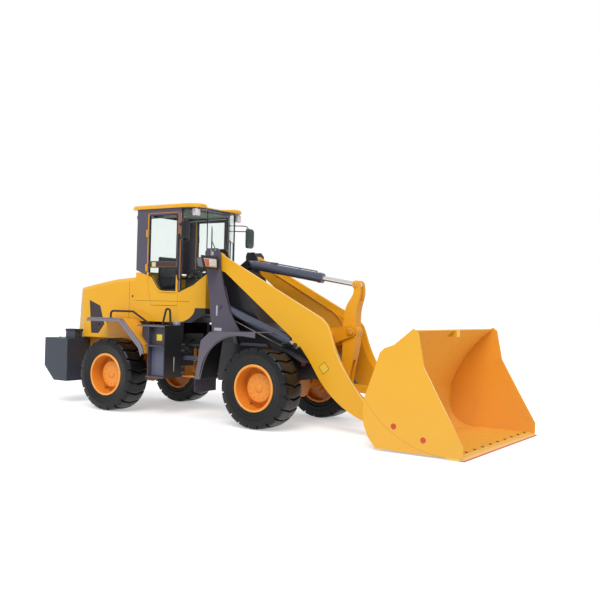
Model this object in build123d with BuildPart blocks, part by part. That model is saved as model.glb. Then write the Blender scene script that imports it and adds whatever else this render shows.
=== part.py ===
from build123d import *
import os
from math import cos, hypot, radians, sin

os.makedirs("parts", exist_ok=True)

# A small articulated wheel loader, standing parked and straight with its bucket just off the floor.
# Millimetres, +X forward, +Y left, +Z up. The origin is on the floor, mid-length and mid-width.
# Outlines of the front half list x ahead of the front axle, those of the rear half x ahead of the
# rear axle, and z above the floor.

# Driving sizes
wheelbase = 2860
track = 1656
tyre_radius = 562
tyre_width = 406
rim_width = 368
rim_radius = 323
rim_seat_radius = 305
rear_overhang = 1680        # rear axle to the counterweight's back
pin_reach = 1720            # front axle to the bucket pins
bucket_reach = 1445         # bucket pins to the cutting edge
pivot_back = 1430           # front axle to the articulation pins
bucket_width = 2580
bucket_wall = 16
frame_plate = 25
rear_frame_width = 710
mast_inner_width = 745      # over the two inner mast plates
mast_outer_width = 1105     # over the two outer mast plates
arm_thickness = 100
arm_centre_y = 452
cab_width = 1170
cab_wall = 40
cab_back = -2680            # the cab's x is counted ahead of the front axle
cab_top = 3150
hood_width = 1040
hood_wall = 20
axle_tube_radius = 78
axle_pad = 16
pin_gap = 0.05              # radial play of a pin in its bore
side_gap = 5                # room beside a moving piece
floor_gap = 4               # the parked bucket's height off the floor

# Places worked out from the driving sizes
total_length = rear_overhang + wheelbase + pin_reach + bucket_reach
front_axle_x = total_length / 2 - bucket_reach - pin_reach
rear_axle_x = front_axle_x - wheelbase
pivot_x = front_axle_x - pivot_back
axle_z = tyre_radius
axle_seat_z = axle_z + axle_tube_radius + axle_pad

boom_pivot = (front_axle_x - 1120, 2340)
boom_pin_radius = 35
bucket_pin = (front_axle_x + pin_reach, 270)
rocker_pin = (front_axle_x + 975, 1365)
rocker_top = (front_axle_x + 1025, 2010)
rocker_foot = (front_axle_x + 880, 590)
link_pin = (front_axle_x + 1660, 530)
lift_base = (front_axle_x - 985, 1655)
lift_eye = (front_axle_x + 330, 1150)
tilt_base = (front_axle_x - 880, 2310)

sides = [-1, 1]             # right, left


# ---------------------------------------------------------------- wheels
# name of the wheel, x of its axle, side
wheels = [
    ("front_right", front_axle_x, -1),
    ("front_left", front_axle_x, 1),
    ("rear_right", rear_axle_x, -1),
    ("rear_left", rear_axle_x, 1),
]
hub_radius = 205
hub_face = 50               # the hub's outer face, outward of the wheel's centre plane
disc_face = -62             # the dished disc's outer face
disc_thickness = 16
rim_thickness = 14
flange_thickness = 12
hub_back = -150
hub_wall = 40
spindle_radius = 60
spindle_depth = 70

tyre_half = tyre_width / 2
bead_half = rim_width / 2 - flange_thickness
lugs = 20                   # chevron blocks round a tyre, parted by grooves
groove_width = 30
groove_depth = 34
chevron_rise = 36           # how far the blocks' middles lie ahead of their ends
# across a tyre: outward of its centre plane, radius
tyre_section = [
    (-bead_half, rim_radius + 8), (-tyre_half, 452), (20 - tyre_half, tyre_radius),
    (tyre_half - 20, tyre_radius), (tyre_half, 452), (bead_half, rim_radius + 8),
]
facet_turn = 180 / lugs     # two flat facets to each lug
tyre_rings = [
    [
        (
            radius / cos(radians(facet_turn / 2)) * cos(radians(facet_turn * (i + 0.5))),
            y,
            radius / cos(radians(facet_turn / 2)) * sin(radians(facet_turn * (i + 0.5))),
        )
        for i in range(2 * lugs)
    ]
    for y, radius in tyre_section
]
tyre_facets = [
    Face(Wire.make_polygon([near[i - 1], near[i], far[i], far[i - 1]]))
    for near, far in zip(tyre_rings, tyre_rings[1:])
    for i in range(2 * lugs)
]
tyre_sides = [Face(Wire.make_polygon(ring)) for ring in (tyre_rings[0], tyre_rings[-1])]
with BuildPart() as tyre_form:
    add(Solid(Shell(tyre_facets + tyre_sides)))
    with BuildSketch(Plane.XZ.offset(-tyre_half)):
        Circle(rim_seat_radius)
    extrude(amount=tyre_width, mode=Mode.SUBTRACT)
    for i in range(lugs):
        angle = radians(-90 + 360 / lugs * (i + 0.5))
        outward = (cos(angle), 0, sin(angle))
        groove_plane = Plane(
            origin=[tyre_radius * 1.01 * part for part in outward],
            x_dir=(0, 1, 0), z_dir=[-part for part in outward],
        )
        with BuildSketch(groove_plane):
            with BuildLine():
                Polyline(
                    (-tyre_width, -groove_width / 2 - 2 * chevron_rise),
                    (0, -groove_width / 2 + chevron_rise),
                    (tyre_width, -groove_width / 2 - 2 * chevron_rise),
                    (tyre_width, groove_width / 2 - 2 * chevron_rise),
                    (0, groove_width / 2 + chevron_rise),
                    (-tyre_width, groove_width / 2 - 2 * chevron_rise), close=True,
                )
            make_face()
        extrude(amount=groove_depth, mode=Mode.SUBTRACT)

for name, x, side in wheels:
    wheel_plane = Plane(
        origin=(x, side * track / 2, axle_z), x_dir=(0, side, 0), z_dir=(side, 0, 0)
    )
    wheel_axis = Axis((x, side * track / 2, axle_z), (0, 1, 0))
    tyre = Pos(x, side * track / 2, axle_z) * tyre_form.part
    tyre.label = f"{name}_tyre"
    export_step(tyre, f"parts/{name}_tyre.step")

    rim_half = rim_width / 2
    rim_inside = rim_seat_radius - rim_thickness
    disc_back = disc_face - disc_thickness
    with BuildPart() as rim:
        with BuildSketch(wheel_plane):
            with BuildLine():
                Polyline(
                    (rim_half, rim_radius),
                    (rim_half, rim_inside),
                    (disc_face, rim_inside),
                    (disc_face, hub_radius),
                    (hub_face - 12, hub_radius),
                    (hub_face, hub_radius - 12),
                    (hub_face, 0),
                    (hub_back + spindle_depth, 0),
                    (hub_back + spindle_depth, spindle_radius + pin_gap),
                    (hub_back, spindle_radius + pin_gap),
                    (hub_back, hub_radius - hub_wall),
                    (disc_back, hub_radius - hub_wall),
                    (disc_back, rim_inside),
                    (-rim_half, rim_inside),
                    (-rim_half, rim_radius),
                    (-bead_half, rim_radius),
                    (-bead_half, rim_seat_radius),
                    (bead_half, rim_seat_radius),
                    (bead_half, rim_radius),
                    close=True,
                )
            make_face()
        revolve(axis=wheel_axis)
    rim.part.label = f"{name}_rim"
    export_step(rim.part, f"parts/{name}_rim.step")


# ---------------------------------------------------------------- axles
axle_end_y = track / 2 + hub_back - side_gap
differential_radius = 158
brake_radius = 135
brake_length = 110
pad_y = (rear_frame_width - frame_plate) / 2
pad_length = 240
nose_length = 330
nose_radius = 80
cover_radius = 176          # the differential's bolted cover, opposite its drive input
cover_reach = 156
cover_depth = 40
# name of the axle, its x, the way its drive input points
axles = [("front_axle", front_axle_x, -1), ("rear_axle", rear_axle_x, 1)]
for name, x, nose in axles:
    with BuildPart() as axle:
        with BuildSketch(Plane(origin=(x, 0, axle_z), x_dir=(1, 0, 0), z_dir=(0, 1, 0))):
            Circle(axle_tube_radius)
        extrude(amount=axle_end_y, both=True)
        for side in sides:
            end = Plane(origin=(x, side * axle_end_y, axle_z), x_dir=(1, 0, 0), z_dir=(0, side, 0))
            with BuildSketch(end.offset(-brake_length)):
                Circle(brake_radius)
            extrude(amount=brake_length)
            with BuildSketch(end):
                Circle(spindle_radius)
            extrude(amount=spindle_depth - side_gap)
            pad_plane = Plane(origin=(x, side * pad_y, axle_z), x_dir=(1, 0, 0), z_dir=(0, 0, 1))
            with BuildSketch(pad_plane):
                Rectangle(pad_length, 90)
            extrude(amount=axle_seat_z - axle_z)
        housing_plane = Plane(origin=(x, 0, axle_z), x_dir=(nose, 0, 0), z_dir=(0, -nose, 0))
        with BuildSketch(housing_plane):
            with BuildLine():
                Polyline(
                    (-cover_reach, 0),
                    (-cover_reach, cover_radius),
                    (cover_depth - cover_reach, cover_radius),
                    (cover_depth - cover_reach, differential_radius), (60, differential_radius),
                    (210, nose_radius), (nose_length, nose_radius), (nose_length, 0), close=True,
                )
            make_face()
        revolve(axis=Axis((x, 0, axle_z), (1, 0, 0)))
    axle.part.label = name
    export_step(axle.part, f"parts/{name}.step")


# ---------------------------------------------------------------- rear frame
steer_z = 860
steer_base = (pivot_x - 590, 455)       # x, y of a steering barrel's pin on the rear half
steer_eye = (pivot_x + 210, 340)        # x, y of its rod's eye on the front half
steer_eye_height = 36
lug_gap = 4
lug_plate = 18
hinge_hole_radius = 38
hinge_plate = 30
hinge_end_radius = 105
# z of the rear half's hinge plates' lower faces: the front half's plates lie between them
hinge_levels = [545, 1035]
rail_top = 1085
rail_front = 960
rail_y = (rear_frame_width - frame_plate) / 2
rail_outer_y = rear_frame_width / 2
rail_outline = [
    (-1330, 640), (-560, 640), (-430, axle_seat_z), (430, axle_seat_z), (600, 545),
    (rail_front, 545), (rail_front, rail_top), (-1330, rail_top),
]
# x of a cross plate, its lower and upper z
rear_cross_plates = [(-1330, 640, 1085), (-760, 640, 900), (600, 545, 700), (rail_front, 545, 1085)]
with BuildPart() as rear_frame:
    for side in sides:
        with BuildSketch(Plane.XZ.offset(-side * rail_y)):
            with BuildLine():
                Polyline(*[(rear_axle_x + dx, z) for dx, z in rail_outline], close=True)
            make_face()
        extrude(amount=frame_plate / 2, both=True)
    for dx, low, high in rear_cross_plates:
        with BuildSketch(Plane.YZ.offset(rear_axle_x + dx)):
            with Locations((0, (low + high) / 2)):
                Rectangle(rear_frame_width, high - low)
        extrude(amount=-frame_plate if dx > 0 else frame_plate)
    root_x = rear_axle_x + rail_front
    for z in hinge_levels:
        with BuildSketch(Plane.XY.offset(z)):
            with BuildLine():
                Polyline(
                    (root_x - frame_plate, -rear_frame_width / 2),
                    (pivot_x - 60, -hinge_end_radius),
                    (pivot_x, -hinge_end_radius),
                    (pivot_x, hinge_end_radius),
                    (pivot_x - 60, hinge_end_radius),
                    (root_x - frame_plate, rear_frame_width / 2),
                    close=True,
                )
            make_face()
            with Locations((pivot_x, 0)):
                Circle(hinge_end_radius)
        extrude(amount=hinge_plate)
        inward = hinge_plate if z == hinge_levels[0] else -hinge_plate
        with BuildSketch(Plane.XY.offset(z)):
            with Locations((pivot_x, 0)):
                Circle(hinge_hole_radius - pin_gap)
        extrude(amount=inward * 2.2)
    for side in sides:
        for level in (-1, 1):
            lug_low = steer_z + level * (steer_eye_height / 2 + lug_gap + lug_plate / 2)
            with BuildSketch(Plane.XY.offset(lug_low - lug_plate / 2)):
                with Locations((steer_base[0], side * steer_base[1])):
                    Circle(34)
                with Locations((steer_base[0], side * (rail_outer_y + steer_base[1]) / 2)):
                    Rectangle(68, steer_base[1] - rail_outer_y)
            extrude(amount=lug_plate)
        with BuildSketch(Plane.XY.offset(steer_z)):
            with Locations((steer_base[0], side * steer_base[1])):
                Circle(16 - pin_gap)
        extrude(amount=steer_eye_height / 2 + lug_gap + lug_plate, both=True)
rear_frame.part.label = "rear_frame"
export_step(rear_frame.part, "parts/rear_frame.step")


# ---------------------------------------------------------------- counterweight
weight_half = 850
weight_depth = 350
weight_low = 370
weight_top = 1065
wing_inner_y = 375          # each side's wing reaches forward past the rails
wing_depth = 610
weight_back_x = rear_axle_x - rear_overhang
hitch_slot_low = 760        # tow hitch: a slot in the back with an upright pin hole
hitch_slot_height = 120
hitch_slot_depth = 150
hitch_slot_width = 220
hitch_pin_radius = 20
hitch_pin_back = 75
hitch_socket_depth = 60
with BuildPart() as counterweight:
    with BuildSketch(Plane.XY.offset(weight_low)):
        with BuildLine():
            Polyline(
                (weight_back_x, -weight_half + 60),
                (weight_back_x + 60, -weight_half),
                (weight_back_x + weight_depth, -weight_half),
                (weight_back_x + weight_depth, weight_half),
                (weight_back_x + 60, weight_half),
                (weight_back_x, weight_half - 60),
                close=True,
            )
        make_face()
    extrude(amount=weight_top - weight_low)
    chamfer(
        counterweight.edges().filter_by(Axis.Y).group_by(Axis.Z)[0].sort_by(Axis.X)[0],
        length=290, length2=300,
    )
    for side in sides:
        with BuildSketch(Plane.XY.offset(weight_low)):
            wing_y = side * (weight_half + wing_inner_y) / 2
            with Locations((weight_back_x + (weight_depth + wing_depth) / 2, wing_y)):
                Rectangle(wing_depth - weight_depth + 2, weight_half - wing_inner_y)
        extrude(amount=weight_top - weight_low)
    with BuildSketch(Plane.XY.offset(hitch_slot_low)):
        with Locations((weight_back_x + hitch_slot_depth / 2, 0)):
            Rectangle(hitch_slot_depth, hitch_slot_width)
    extrude(amount=hitch_slot_height, mode=Mode.SUBTRACT)
    with BuildSketch(Plane.XY.offset(weight_top)):
        with Locations((weight_back_x + hitch_pin_back, 0)):
            Circle(hitch_pin_radius)
    extrude(amount=-(weight_top - hitch_slot_low + hitch_socket_depth), mode=Mode.SUBTRACT)
counterweight.part.label = "counterweight"
export_step(counterweight.part, "parts/counterweight.step")


# ---------------------------------------------------------------- engine, hood and its panels
hood_low = 1100
hood_front = 135
hood_outline = [
    (hood_front, 2095), (-350, 2055), (-780, 1985), (-1150, 1915), (-1200, 1870), (-1340, 1220),
    (-1340, hood_low), (hood_front, hood_low),
]
hood_rear_corner = 270
hood_rear_half = 370
hood_half = hood_width / 2
vent_outline = [(-940, 1710), (-680, 1620), (-610, 1420), (-570, 1320), (-710, 1165), (-880, 1165)]
vent_recess = 12
grille_half = 280
grille_low = 1270
grille_high = 1780


def hood_form(inset):
    """The hood's solid outer form, or its hollow when inset by the wall."""
    half = hood_half - inset
    rear_half = hood_rear_half - inset * 0.6
    back = rear_axle_x - 1340 + inset
    with BuildPart() as form:
        with BuildSketch(Plane.XZ):
            with BuildLine():
                Polyline(*[(rear_axle_x + dx, z) for dx, z in hood_outline], close=True)
            make_face()
            if inset > 0:
                offset(amount=-inset)
                with Locations((rear_axle_x + (hood_front - 1340) / 2, hood_low)):
                    Rectangle(hood_front + 1340 - 2 * inset, 4 * inset)
        extrude(amount=half, both=True)
        with BuildSketch(Plane.XY):
            with BuildLine():
                Polyline(
                    (back, -rear_half), (back + hood_rear_corner, -half), (rear_axle_x + 800, -half),
                    (rear_axle_x + 800, half), (back + hood_rear_corner, half), (back, rear_half),
                    close=True,
                )
            make_face()
        extrude(amount=3000, mode=Mode.INTERSECT)
        tops = form.edges().filter_by(lambda e: e.center().Z > 1800 and abs(e.center().Y) > half - 1)
        chamfer(tops.filter_by(lambda e: abs(e.tangent_at(0.5).Y) < 0.01), length=60 - inset * 0.6)
    return form.part


with BuildPart() as hood:
    add(hood_form(0))
    add(hood_form(hood_wall), mode=Mode.SUBTRACT)
    for side in sides:
        with BuildSketch(Plane.XZ.offset(-side * hood_half)):
            with BuildLine():
                Polyline(*[(rear_axle_x + dx, z) for dx, z in vent_outline], close=True)
            make_face()
        extrude(amount=hood_wall + 5, both=True, mode=Mode.SUBTRACT)
    with BuildSketch(Plane.YZ.offset(rear_axle_x - 1360)):
        with Locations((0, (grille_low + grille_high) / 2)):
            Rectangle(2 * grille_half, grille_high - grille_low)
    extrude(amount=260, mode=Mode.SUBTRACT)
hood.part.label = "hood"
export_step(hood.part, "parts/hood.step")

with BuildPart() as hood_vents:
    for side in sides:
        with BuildSketch(Plane.XZ.offset(-side * (hood_half - vent_recess))):
            with BuildLine():
                Polyline(*[(rear_axle_x + dx, z) for dx, z in vent_outline], close=True)
            make_face()
        extrude(amount=side * -(hood_wall - vent_recess))
hood_vents.part.label = "hood_vents"
export_step(hood_vents.part, "parts/hood_vents.step")

with BuildPart() as radiator_grille:
    with BuildSketch(Plane.YZ.offset(rear_axle_x - 1170)):
        with Locations((0, (hood_low + 1790) / 2)):
            Rectangle(2 * grille_half + 60, 1790 - hood_low)
    extrude(amount=90)
radiator_grille.part.label = "radiator_grille"
export_step(radiator_grille.part, "parts/radiator_grille.step")

engine_length = 900
engine_width = 560
engine_low = 905
engine_front = front_axle_x + cab_back - 210
engine_top = 1700
with BuildPart() as engine_block:
    with BuildSketch(Plane.XY.offset(engine_low)):
        with Locations((engine_front - engine_length / 2, 0)):
            Rectangle(engine_length, engine_width)
    extrude(amount=engine_top - engine_low)
engine_block.part.label = "engine_block"
export_step(engine_block.part, "parts/engine_block.step")

transmission_length = 300
with BuildPart() as transmission:
    with BuildSketch(Plane.XY.offset(700)):
        with Locations((rear_axle_x + 765, 0)):
            Rectangle(transmission_length, 460)
    extrude(amount=520)
    with BuildSketch(Plane(origin=(rear_axle_x + 615, 0, 780), x_dir=(0, 1, 0), z_dir=(-1, 0, 0))):
        Circle(45)
    extrude(amount=160)
transmission.part.label = "transmission"
export_step(transmission.part, "parts/transmission.step")

box_length = 220
box_height = 150
with BuildPart() as battery_boxes:
    for side in sides:
        with BuildSketch(Plane.XY.offset(weight_top)):
            with Locations((weight_back_x + wing_depth - 10 - box_length / 2, side * 610)):
                Rectangle(box_length, 160)
        extrude(amount=box_height)
battery_boxes.part.label = "battery_boxes"
export_step(battery_boxes.part, "parts/battery_boxes.step")


# ---------------------------------------------------------------- rear fenders and step tanks
fender_sheet = 12
tyre_inner_y = (track - tyre_width) / 2
tyre_outer_y = (track + tyre_width) / 2
fender_inner_y = tyre_inner_y - fender_sheet - side_gap - 1
fender_outer_y = tyre_outer_y - 46
fender_lip = 52
rear_fender_line = [(-460, 1430), (260, 1435), (690, 1050), (738, 930)]
with BuildPart() as rear_fenders:
    for side in sides:
        with BuildSketch(Plane.XZ.offset(-side * (fender_inner_y + fender_outer_y) / 2)):
            with BuildLine():
                Polyline(
                    *[(rear_axle_x + dx, z) for dx, z in rear_fender_line],
                    *[(rear_axle_x + dx - 9, z - fender_sheet) for dx, z in rear_fender_line[::-1]],
                    close=True,
                )
            make_face()
        extrude(amount=(fender_outer_y - fender_inner_y) / 2, both=True)
        with BuildSketch(Plane.XZ.offset(-side * (fender_inner_y + fender_sheet / 2))):
            with BuildLine():
                Polyline(
                    (rear_axle_x - 460, 1424), (rear_axle_x + 258, 1429), (rear_axle_x + 680, 1052),
                    (rear_axle_x + 640, 1030), (rear_axle_x - 300, 1030), close=True,
                )
            make_face()
        extrude(amount=fender_sheet / 2, both=True)
        with BuildSketch(Plane.XZ.offset(-side * (fender_outer_y - fender_sheet / 2))):
            with BuildLine():
                Polyline(
                    *[(rear_axle_x + dx, z) for dx, z in rear_fender_line],
                    *[
                        (rear_axle_x + dx - fender_lip * 0.5, z - fender_lip)
                        for dx, z in rear_fender_line[::-1]
                    ],
                    close=True,
                )
            make_face()
        extrude(amount=fender_sheet / 2, both=True)
        for dx in (-200, 330):
            with BuildSketch(Plane.XY.offset(1035)):
                with Locations((rear_axle_x + dx, side * (rail_outer_y + fender_inner_y) / 2)):
                    Rectangle(60, fender_inner_y - rail_outer_y)
            extrude(amount=45)
rear_fenders.part.label = "rear_fenders"
export_step(rear_fenders.part, "parts/rear_fenders.step")

tank_inner_y = 510
tank_outer_y = 830
step_outer_y = 920
tank_front = 1130
tank_outline = [
    (590, 1330), (tank_front, 1330), (tank_front, 575), (772, 575), (772, 940), (722, 1062), (590, 1180),
]
# height of a step's top, x of its rear end
steps = [(1352, 570), (1055, 752), (590, 766)]
step_thickness = 24
for name, side in (("fuel_tank", -1), ("hydraulic_tank", 1)):
    with BuildPart() as tank:
        with BuildSketch(Plane.XZ.offset(-side * (tank_inner_y + tank_outer_y) / 2)):
            with BuildLine():
                Polyline(*[(rear_axle_x + dx, z) for dx, z in tank_outline], close=True)
            make_face()
        extrude(amount=(tank_outer_y - tank_inner_y) / 2, both=True)
        for top, back in steps:
            with BuildSketch(Plane.XY.offset(top - step_thickness)):
                deck_y = side * (tank_inner_y + step_outer_y) / 2
                with Locations((rear_axle_x + (back + tank_front) / 2, deck_y)):
                    Rectangle(tank_front - back, step_outer_y - tank_inner_y)
            extrude(amount=step_thickness)
        for dx in (tank_front - 340, tank_front - 12):
            with BuildSketch(Plane.YZ.offset(rear_axle_x + dx)):
                with Locations((side * (tank_outer_y + step_outer_y - 10) / 2, (575 + 1340) / 2)):
                    Rectangle(step_outer_y - tank_outer_y - 10, 1340 - 575)
            extrude(amount=12)
        for z in (700, 960):
            with BuildSketch(Plane.XY.offset(z)):
                with Locations((rear_axle_x + 850, side * (rail_outer_y + tank_inner_y) / 2)):
                    Rectangle(100, tank_inner_y - rail_outer_y)
            extrude(amount=60)
        with BuildSketch(Plane.XY.offset(1340)):
            with Locations((rear_axle_x + tank_front - 60, side * 590)):
                Circle(48)
        extrude(amount=60)
    tank.part.label = name
    export_step(tank.part, f"parts/{name}.step")

rail_tube = 16
with BuildPart() as handrails:
    for side in sides:
        loop_y = side * 740
        with BuildLine() as loop_path:
            FilletPolyline(
                (rear_axle_x + 930, loop_y, 1352), (rear_axle_x + 930, loop_y, 1400),
                (rear_axle_x + 985, loop_y, 1600),
                (rear_axle_x + 1060, loop_y, 1600), (rear_axle_x + 1080, loop_y, 1400),
                (rear_axle_x + 1080, loop_y, 1352),
                radius=34,
            )
        with BuildSketch(Plane(origin=loop_path.line @ 0, z_dir=loop_path.line % 0)):
            Circle(rail_tube)
        sweep()
        bar_y = side * 700
        with BuildLine() as bar_path:
            FilletPolyline(
                (rear_axle_x - 240, bar_y, 1432), (rear_axle_x - 240, bar_y, 1545),
                (rear_axle_x + 250, bar_y, 1545), (rear_axle_x + 600, bar_y, 1370),
                radius=60,
            )
        with BuildSketch(Plane(origin=bar_path.line @ 0, z_dir=bar_path.line % 0)):
            Circle(rail_tube)
        sweep()
handrails.part.label = "handrails"
export_step(handrails.part, "parts/handrails.step")


# ---------------------------------------------------------------- cab
cab_half = cab_width / 2
cab_corner = -1760
cab_front = -1450
cab_front_half = 335
cab_low = 1400
cab_floor = 1480
cab_shell_top = 2160


def cab_plan(inset):
    """The cab's outline seen from above, inset by part or all of its wall."""
    return [
        (front_axle_x + cab_back + inset, -cab_half + inset),
        (front_axle_x + cab_corner - inset * 0.35, -cab_half + inset),
        (front_axle_x + cab_front - inset, -cab_front_half + inset * 0.45),
        (front_axle_x + cab_front - inset, cab_front_half - inset * 0.45),
        (front_axle_x + cab_corner - inset * 0.35, cab_half - inset),
        (front_axle_x + cab_back + inset, cab_half - inset),
    ]


# The door's outline: x, z. Its rear edge leans below the waist.
door_rear = -2450
door_front = -1800
door_gap = 6
door_top = cab_top - 65
door_outline = [
    (door_rear, door_top), (door_front, door_top), (door_front, 1655), (-2345, 1655), (-2400, 1900),
    (door_rear, 2110),
]
# Above this line on each side and front the yellow shell ends and glass begins.
glass_line = [
    (cab_back - 50, 2200), (door_rear, 2120), (-2340, 2120), (-2160, 1890), (-2090, 1860),
    (-1700, 1860), (-1500, 1960), (-1300, 2130), (-1300, cab_top + 150), (cab_back - 50, cab_top + 150),
]
with BuildPart() as cab_body:
    with BuildSketch(Plane.XY.offset(cab_low)):
        with BuildLine():
            Polyline(*cab_plan(0), close=True)
        make_face()
    extrude(amount=cab_shell_top - cab_low)
    with BuildSketch(Plane.XY.offset(cab_floor)):
        with BuildLine():
            Polyline(*cab_plan(cab_wall), close=True)
        make_face()
    extrude(amount=cab_shell_top - cab_floor, mode=Mode.SUBTRACT)
    with BuildSketch(Plane.XZ):
        with BuildLine():
            Polyline(*[(front_axle_x + dx, z) for dx, z in glass_line], close=True)
        make_face()
    extrude(amount=cab_width, both=True, mode=Mode.SUBTRACT)
    with BuildSketch(Plane.XZ):
        with BuildLine():
            Polyline(*[(front_axle_x + dx, z) for dx, z in door_outline], close=True)
        make_face()
        offset(amount=door_gap)
    extrude(amount=cab_width, both=True, mode=Mode.SUBTRACT)
    with BuildSketch(Plane.XZ):
        with BuildLine():
            Polyline(
                (front_axle_x - 1620, cab_low - 5), (front_axle_x - 1400, cab_low + 175),
                (front_axle_x - 1400, cab_low - 5), close=True,
            )
        make_face()
    extrude(amount=cab_width, both=True, mode=Mode.SUBTRACT)
    for side in sides:
        with BuildSketch(Plane.XY.offset(rail_top)):
            with Locations((front_axle_x - 2200, side * (rail_outer_y - 40))):
                Rectangle(560, 60)
        extrude(amount=cab_low - rail_top)
cab_body.part.label = "cab_body"
export_step(cab_body.part, "parts/cab_body.step")

# name, rear x and front x of a post on each side, its inward depth
posts = [(cab_back, door_rear - door_gap, cab_wall), (door_front + door_gap, cab_corner + 6, cab_wall)]
header_low = door_top + door_gap
ceiling = 14                # the ceiling plate, which also carries the windscreen's top edge
with BuildPart() as cab_frame:
    with BuildSketch(Plane.XY.offset(header_low)):
        with BuildLine():
            Polyline(*cab_plan(0), close=True)
        make_face()
        with BuildLine():
            Polyline(*cab_plan(cab_wall), close=True)
        make_face(mode=Mode.SUBTRACT)
        with Locations((front_axle_x + cab_corner + 6 + cab_width / 2, 0)):
            Rectangle(cab_width, 2 * cab_width, mode=Mode.SUBTRACT)
    extrude(amount=cab_top - header_low)
    with BuildSketch(Plane.XY.offset(cab_top - ceiling)):
        with BuildLine():
            Polyline(*cab_plan(0), close=True)
        make_face()
    extrude(amount=ceiling)
    for side in sides:
        for back, front, depth in posts:
            low = 2120 if back == cab_back else 1860
            with BuildSketch(Plane.XY.offset(low)):
                with Locations((front_axle_x + (back + front) / 2, side * (cab_half - depth / 2))):
                    Rectangle(front - back, depth)
            extrude(amount=header_low - low)
        with BuildSketch(Plane.XY.offset(2120)):
            with Locations((front_axle_x + cab_back + cab_wall / 2, side * (cab_half - 90))):
                Rectangle(cab_wall, 180)
        extrude(amount=header_low - 2120)
    with BuildSketch(Plane.XZ):
        with BuildLine():
            Polyline(
                (front_axle_x + cab_back - 5, 2110), (front_axle_x + door_rear, 2110),
                (front_axle_x + door_rear, 2120), (front_axle_x + cab_back - 5, 2199), close=True,
            )
        make_face()
    extrude(amount=cab_width, both=True, mode=Mode.SUBTRACT)
cab_frame.part.label = "cab_frame"
export_step(cab_frame.part, "parts/cab_frame.step")

roof_thickness = 60
visor_front = -1455
roof_outline = [
    (-2800, 560), (-2750, 610), (-1600, 610), (visor_front, 500), (visor_front, 350), (-1690, 270),
]
with BuildPart() as cab_roof:
    with BuildSketch(Plane.XY.offset(cab_top)):
        with BuildLine():
            Polyline(
                *[(front_axle_x + dx, -y) for dx, y in roof_outline],
                *[(front_axle_x + dx, y) for dx, y in roof_outline[::-1]],
                close=True,
            )
        make_face()
    extrude(amount=roof_thickness)
    chamfer(cab_roof.faces().sort_by(Axis.Z)[-1].edges(), length=24)
cab_roof.part.label = "cab_roof"
export_step(cab_roof.part, "parts/cab_roof.step")

glass = 8
glass_inset = 12
with BuildPart() as windscreen:
    with BuildSketch(Plane.XY.offset(1700)):
        with BuildLine():
            Polyline(*cab_plan(glass_inset), close=True)
        make_face()
        with BuildLine():
            Polyline(*cab_plan(glass_inset + glass), close=True)
        make_face(mode=Mode.SUBTRACT)
        with Locations((front_axle_x + cab_back, 0)):
            Rectangle(2 * (cab_corner + 8 - cab_back), 2 * cab_width, mode=Mode.SUBTRACT)
    extrude(amount=cab_top - ceiling - 1700)
    with BuildSketch(Plane.XZ):
        with BuildLine():
            Polyline(
                *[(front_axle_x + dx, z) for dx, z in glass_line[3:8]], (front_axle_x - 1300, 1500),
                (front_axle_x - 2160, 1500), close=True,
            )
        make_face()
    extrude(amount=cab_width, both=True, mode=Mode.SUBTRACT)
windscreen.part.label = "windscreen"
export_step(windscreen.part, "parts/windscreen.step")

with BuildPart() as rear_window:
    with BuildSketch(Plane.YZ.offset(front_axle_x + cab_back + 16)):
        with Locations((0, (2160 + header_low) / 2)):
            Rectangle(2 * (cab_half - 180), header_low - 2160)
    extrude(amount=glass)
rear_window.part.label = "rear_window"
export_step(rear_window.part, "parts/rear_window.step")

door_wall = 34
door_rim = 42                # the door frame's width round its upper window
window_sill = 2330
window_top = door_top - door_rim
window_low = [(-2405, 2100), (-2350, 2100), (-2200, 1905), (-2100, 1880), (-1845, 1880), (-1845, 2240)]
hinge_radius = 11
hinge_x = door_rear - door_gap
hinge_y = cab_half + hinge_radius + 1   # the knuckles stand just clear of the cab's side
hinge_leaf = 56
hinge_height = 110
hinge_heights = [door_top - 370, 2180]  # z of the two hinges' lower ends
for name, side in (("door_right", -1), ("door_left", 1)):
    door_plane = Plane.XZ.offset(-side * (cab_half - door_wall / 2))
    with BuildPart() as door:
        with BuildSketch(door_plane):
            with BuildLine():
                Polyline(*[(front_axle_x + dx, z) for dx, z in door_outline], close=True)
            make_face()
            with Locations((front_axle_x + (door_rear + door_front) / 2, (window_sill + window_top) / 2)):
                Rectangle(door_front - door_rear - 2 * door_rim, window_top - window_sill, mode=Mode.SUBTRACT)
            with BuildLine():
                Polyline(
                    *[(front_axle_x + dx, z) for dx, z in window_low],
                    (front_axle_x - 2405, 2240), close=True,
                )
            make_face(mode=Mode.SUBTRACT)
        extrude(amount=door_wall / 2, both=True)
        for z in hinge_heights:
            with BuildSketch(Plane.XY.offset(z)):
                with Locations((front_axle_x + hinge_x, side * hinge_y)):
                    Circle(hinge_radius)
                with Locations((front_axle_x + hinge_x + hinge_leaf / 2, side * (cab_half + 3))):
                    Rectangle(hinge_leaf, 6)
            extrude(amount=hinge_height)
    door.part.label = name
    export_step(door.part, f"parts/{name}.step")

    with BuildPart() as door_glass:
        with BuildSketch(door_plane):
            with Locations((front_axle_x + (door_rear + door_front) / 2, (window_sill + window_top) / 2)):
                Rectangle(door_front - door_rear - 2 * door_rim, window_top - window_sill)
            with BuildLine():
                Polyline(
                    *[(front_axle_x + dx, z) for dx, z in window_low],
                    (front_axle_x - 2405, 2240), close=True,
                )
            make_face()
        extrude(amount=glass / 2, both=True)
    door_glass.part.label = f"{name}_glass"
    export_step(door_glass.part, f"parts/{name}_glass.step")

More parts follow.
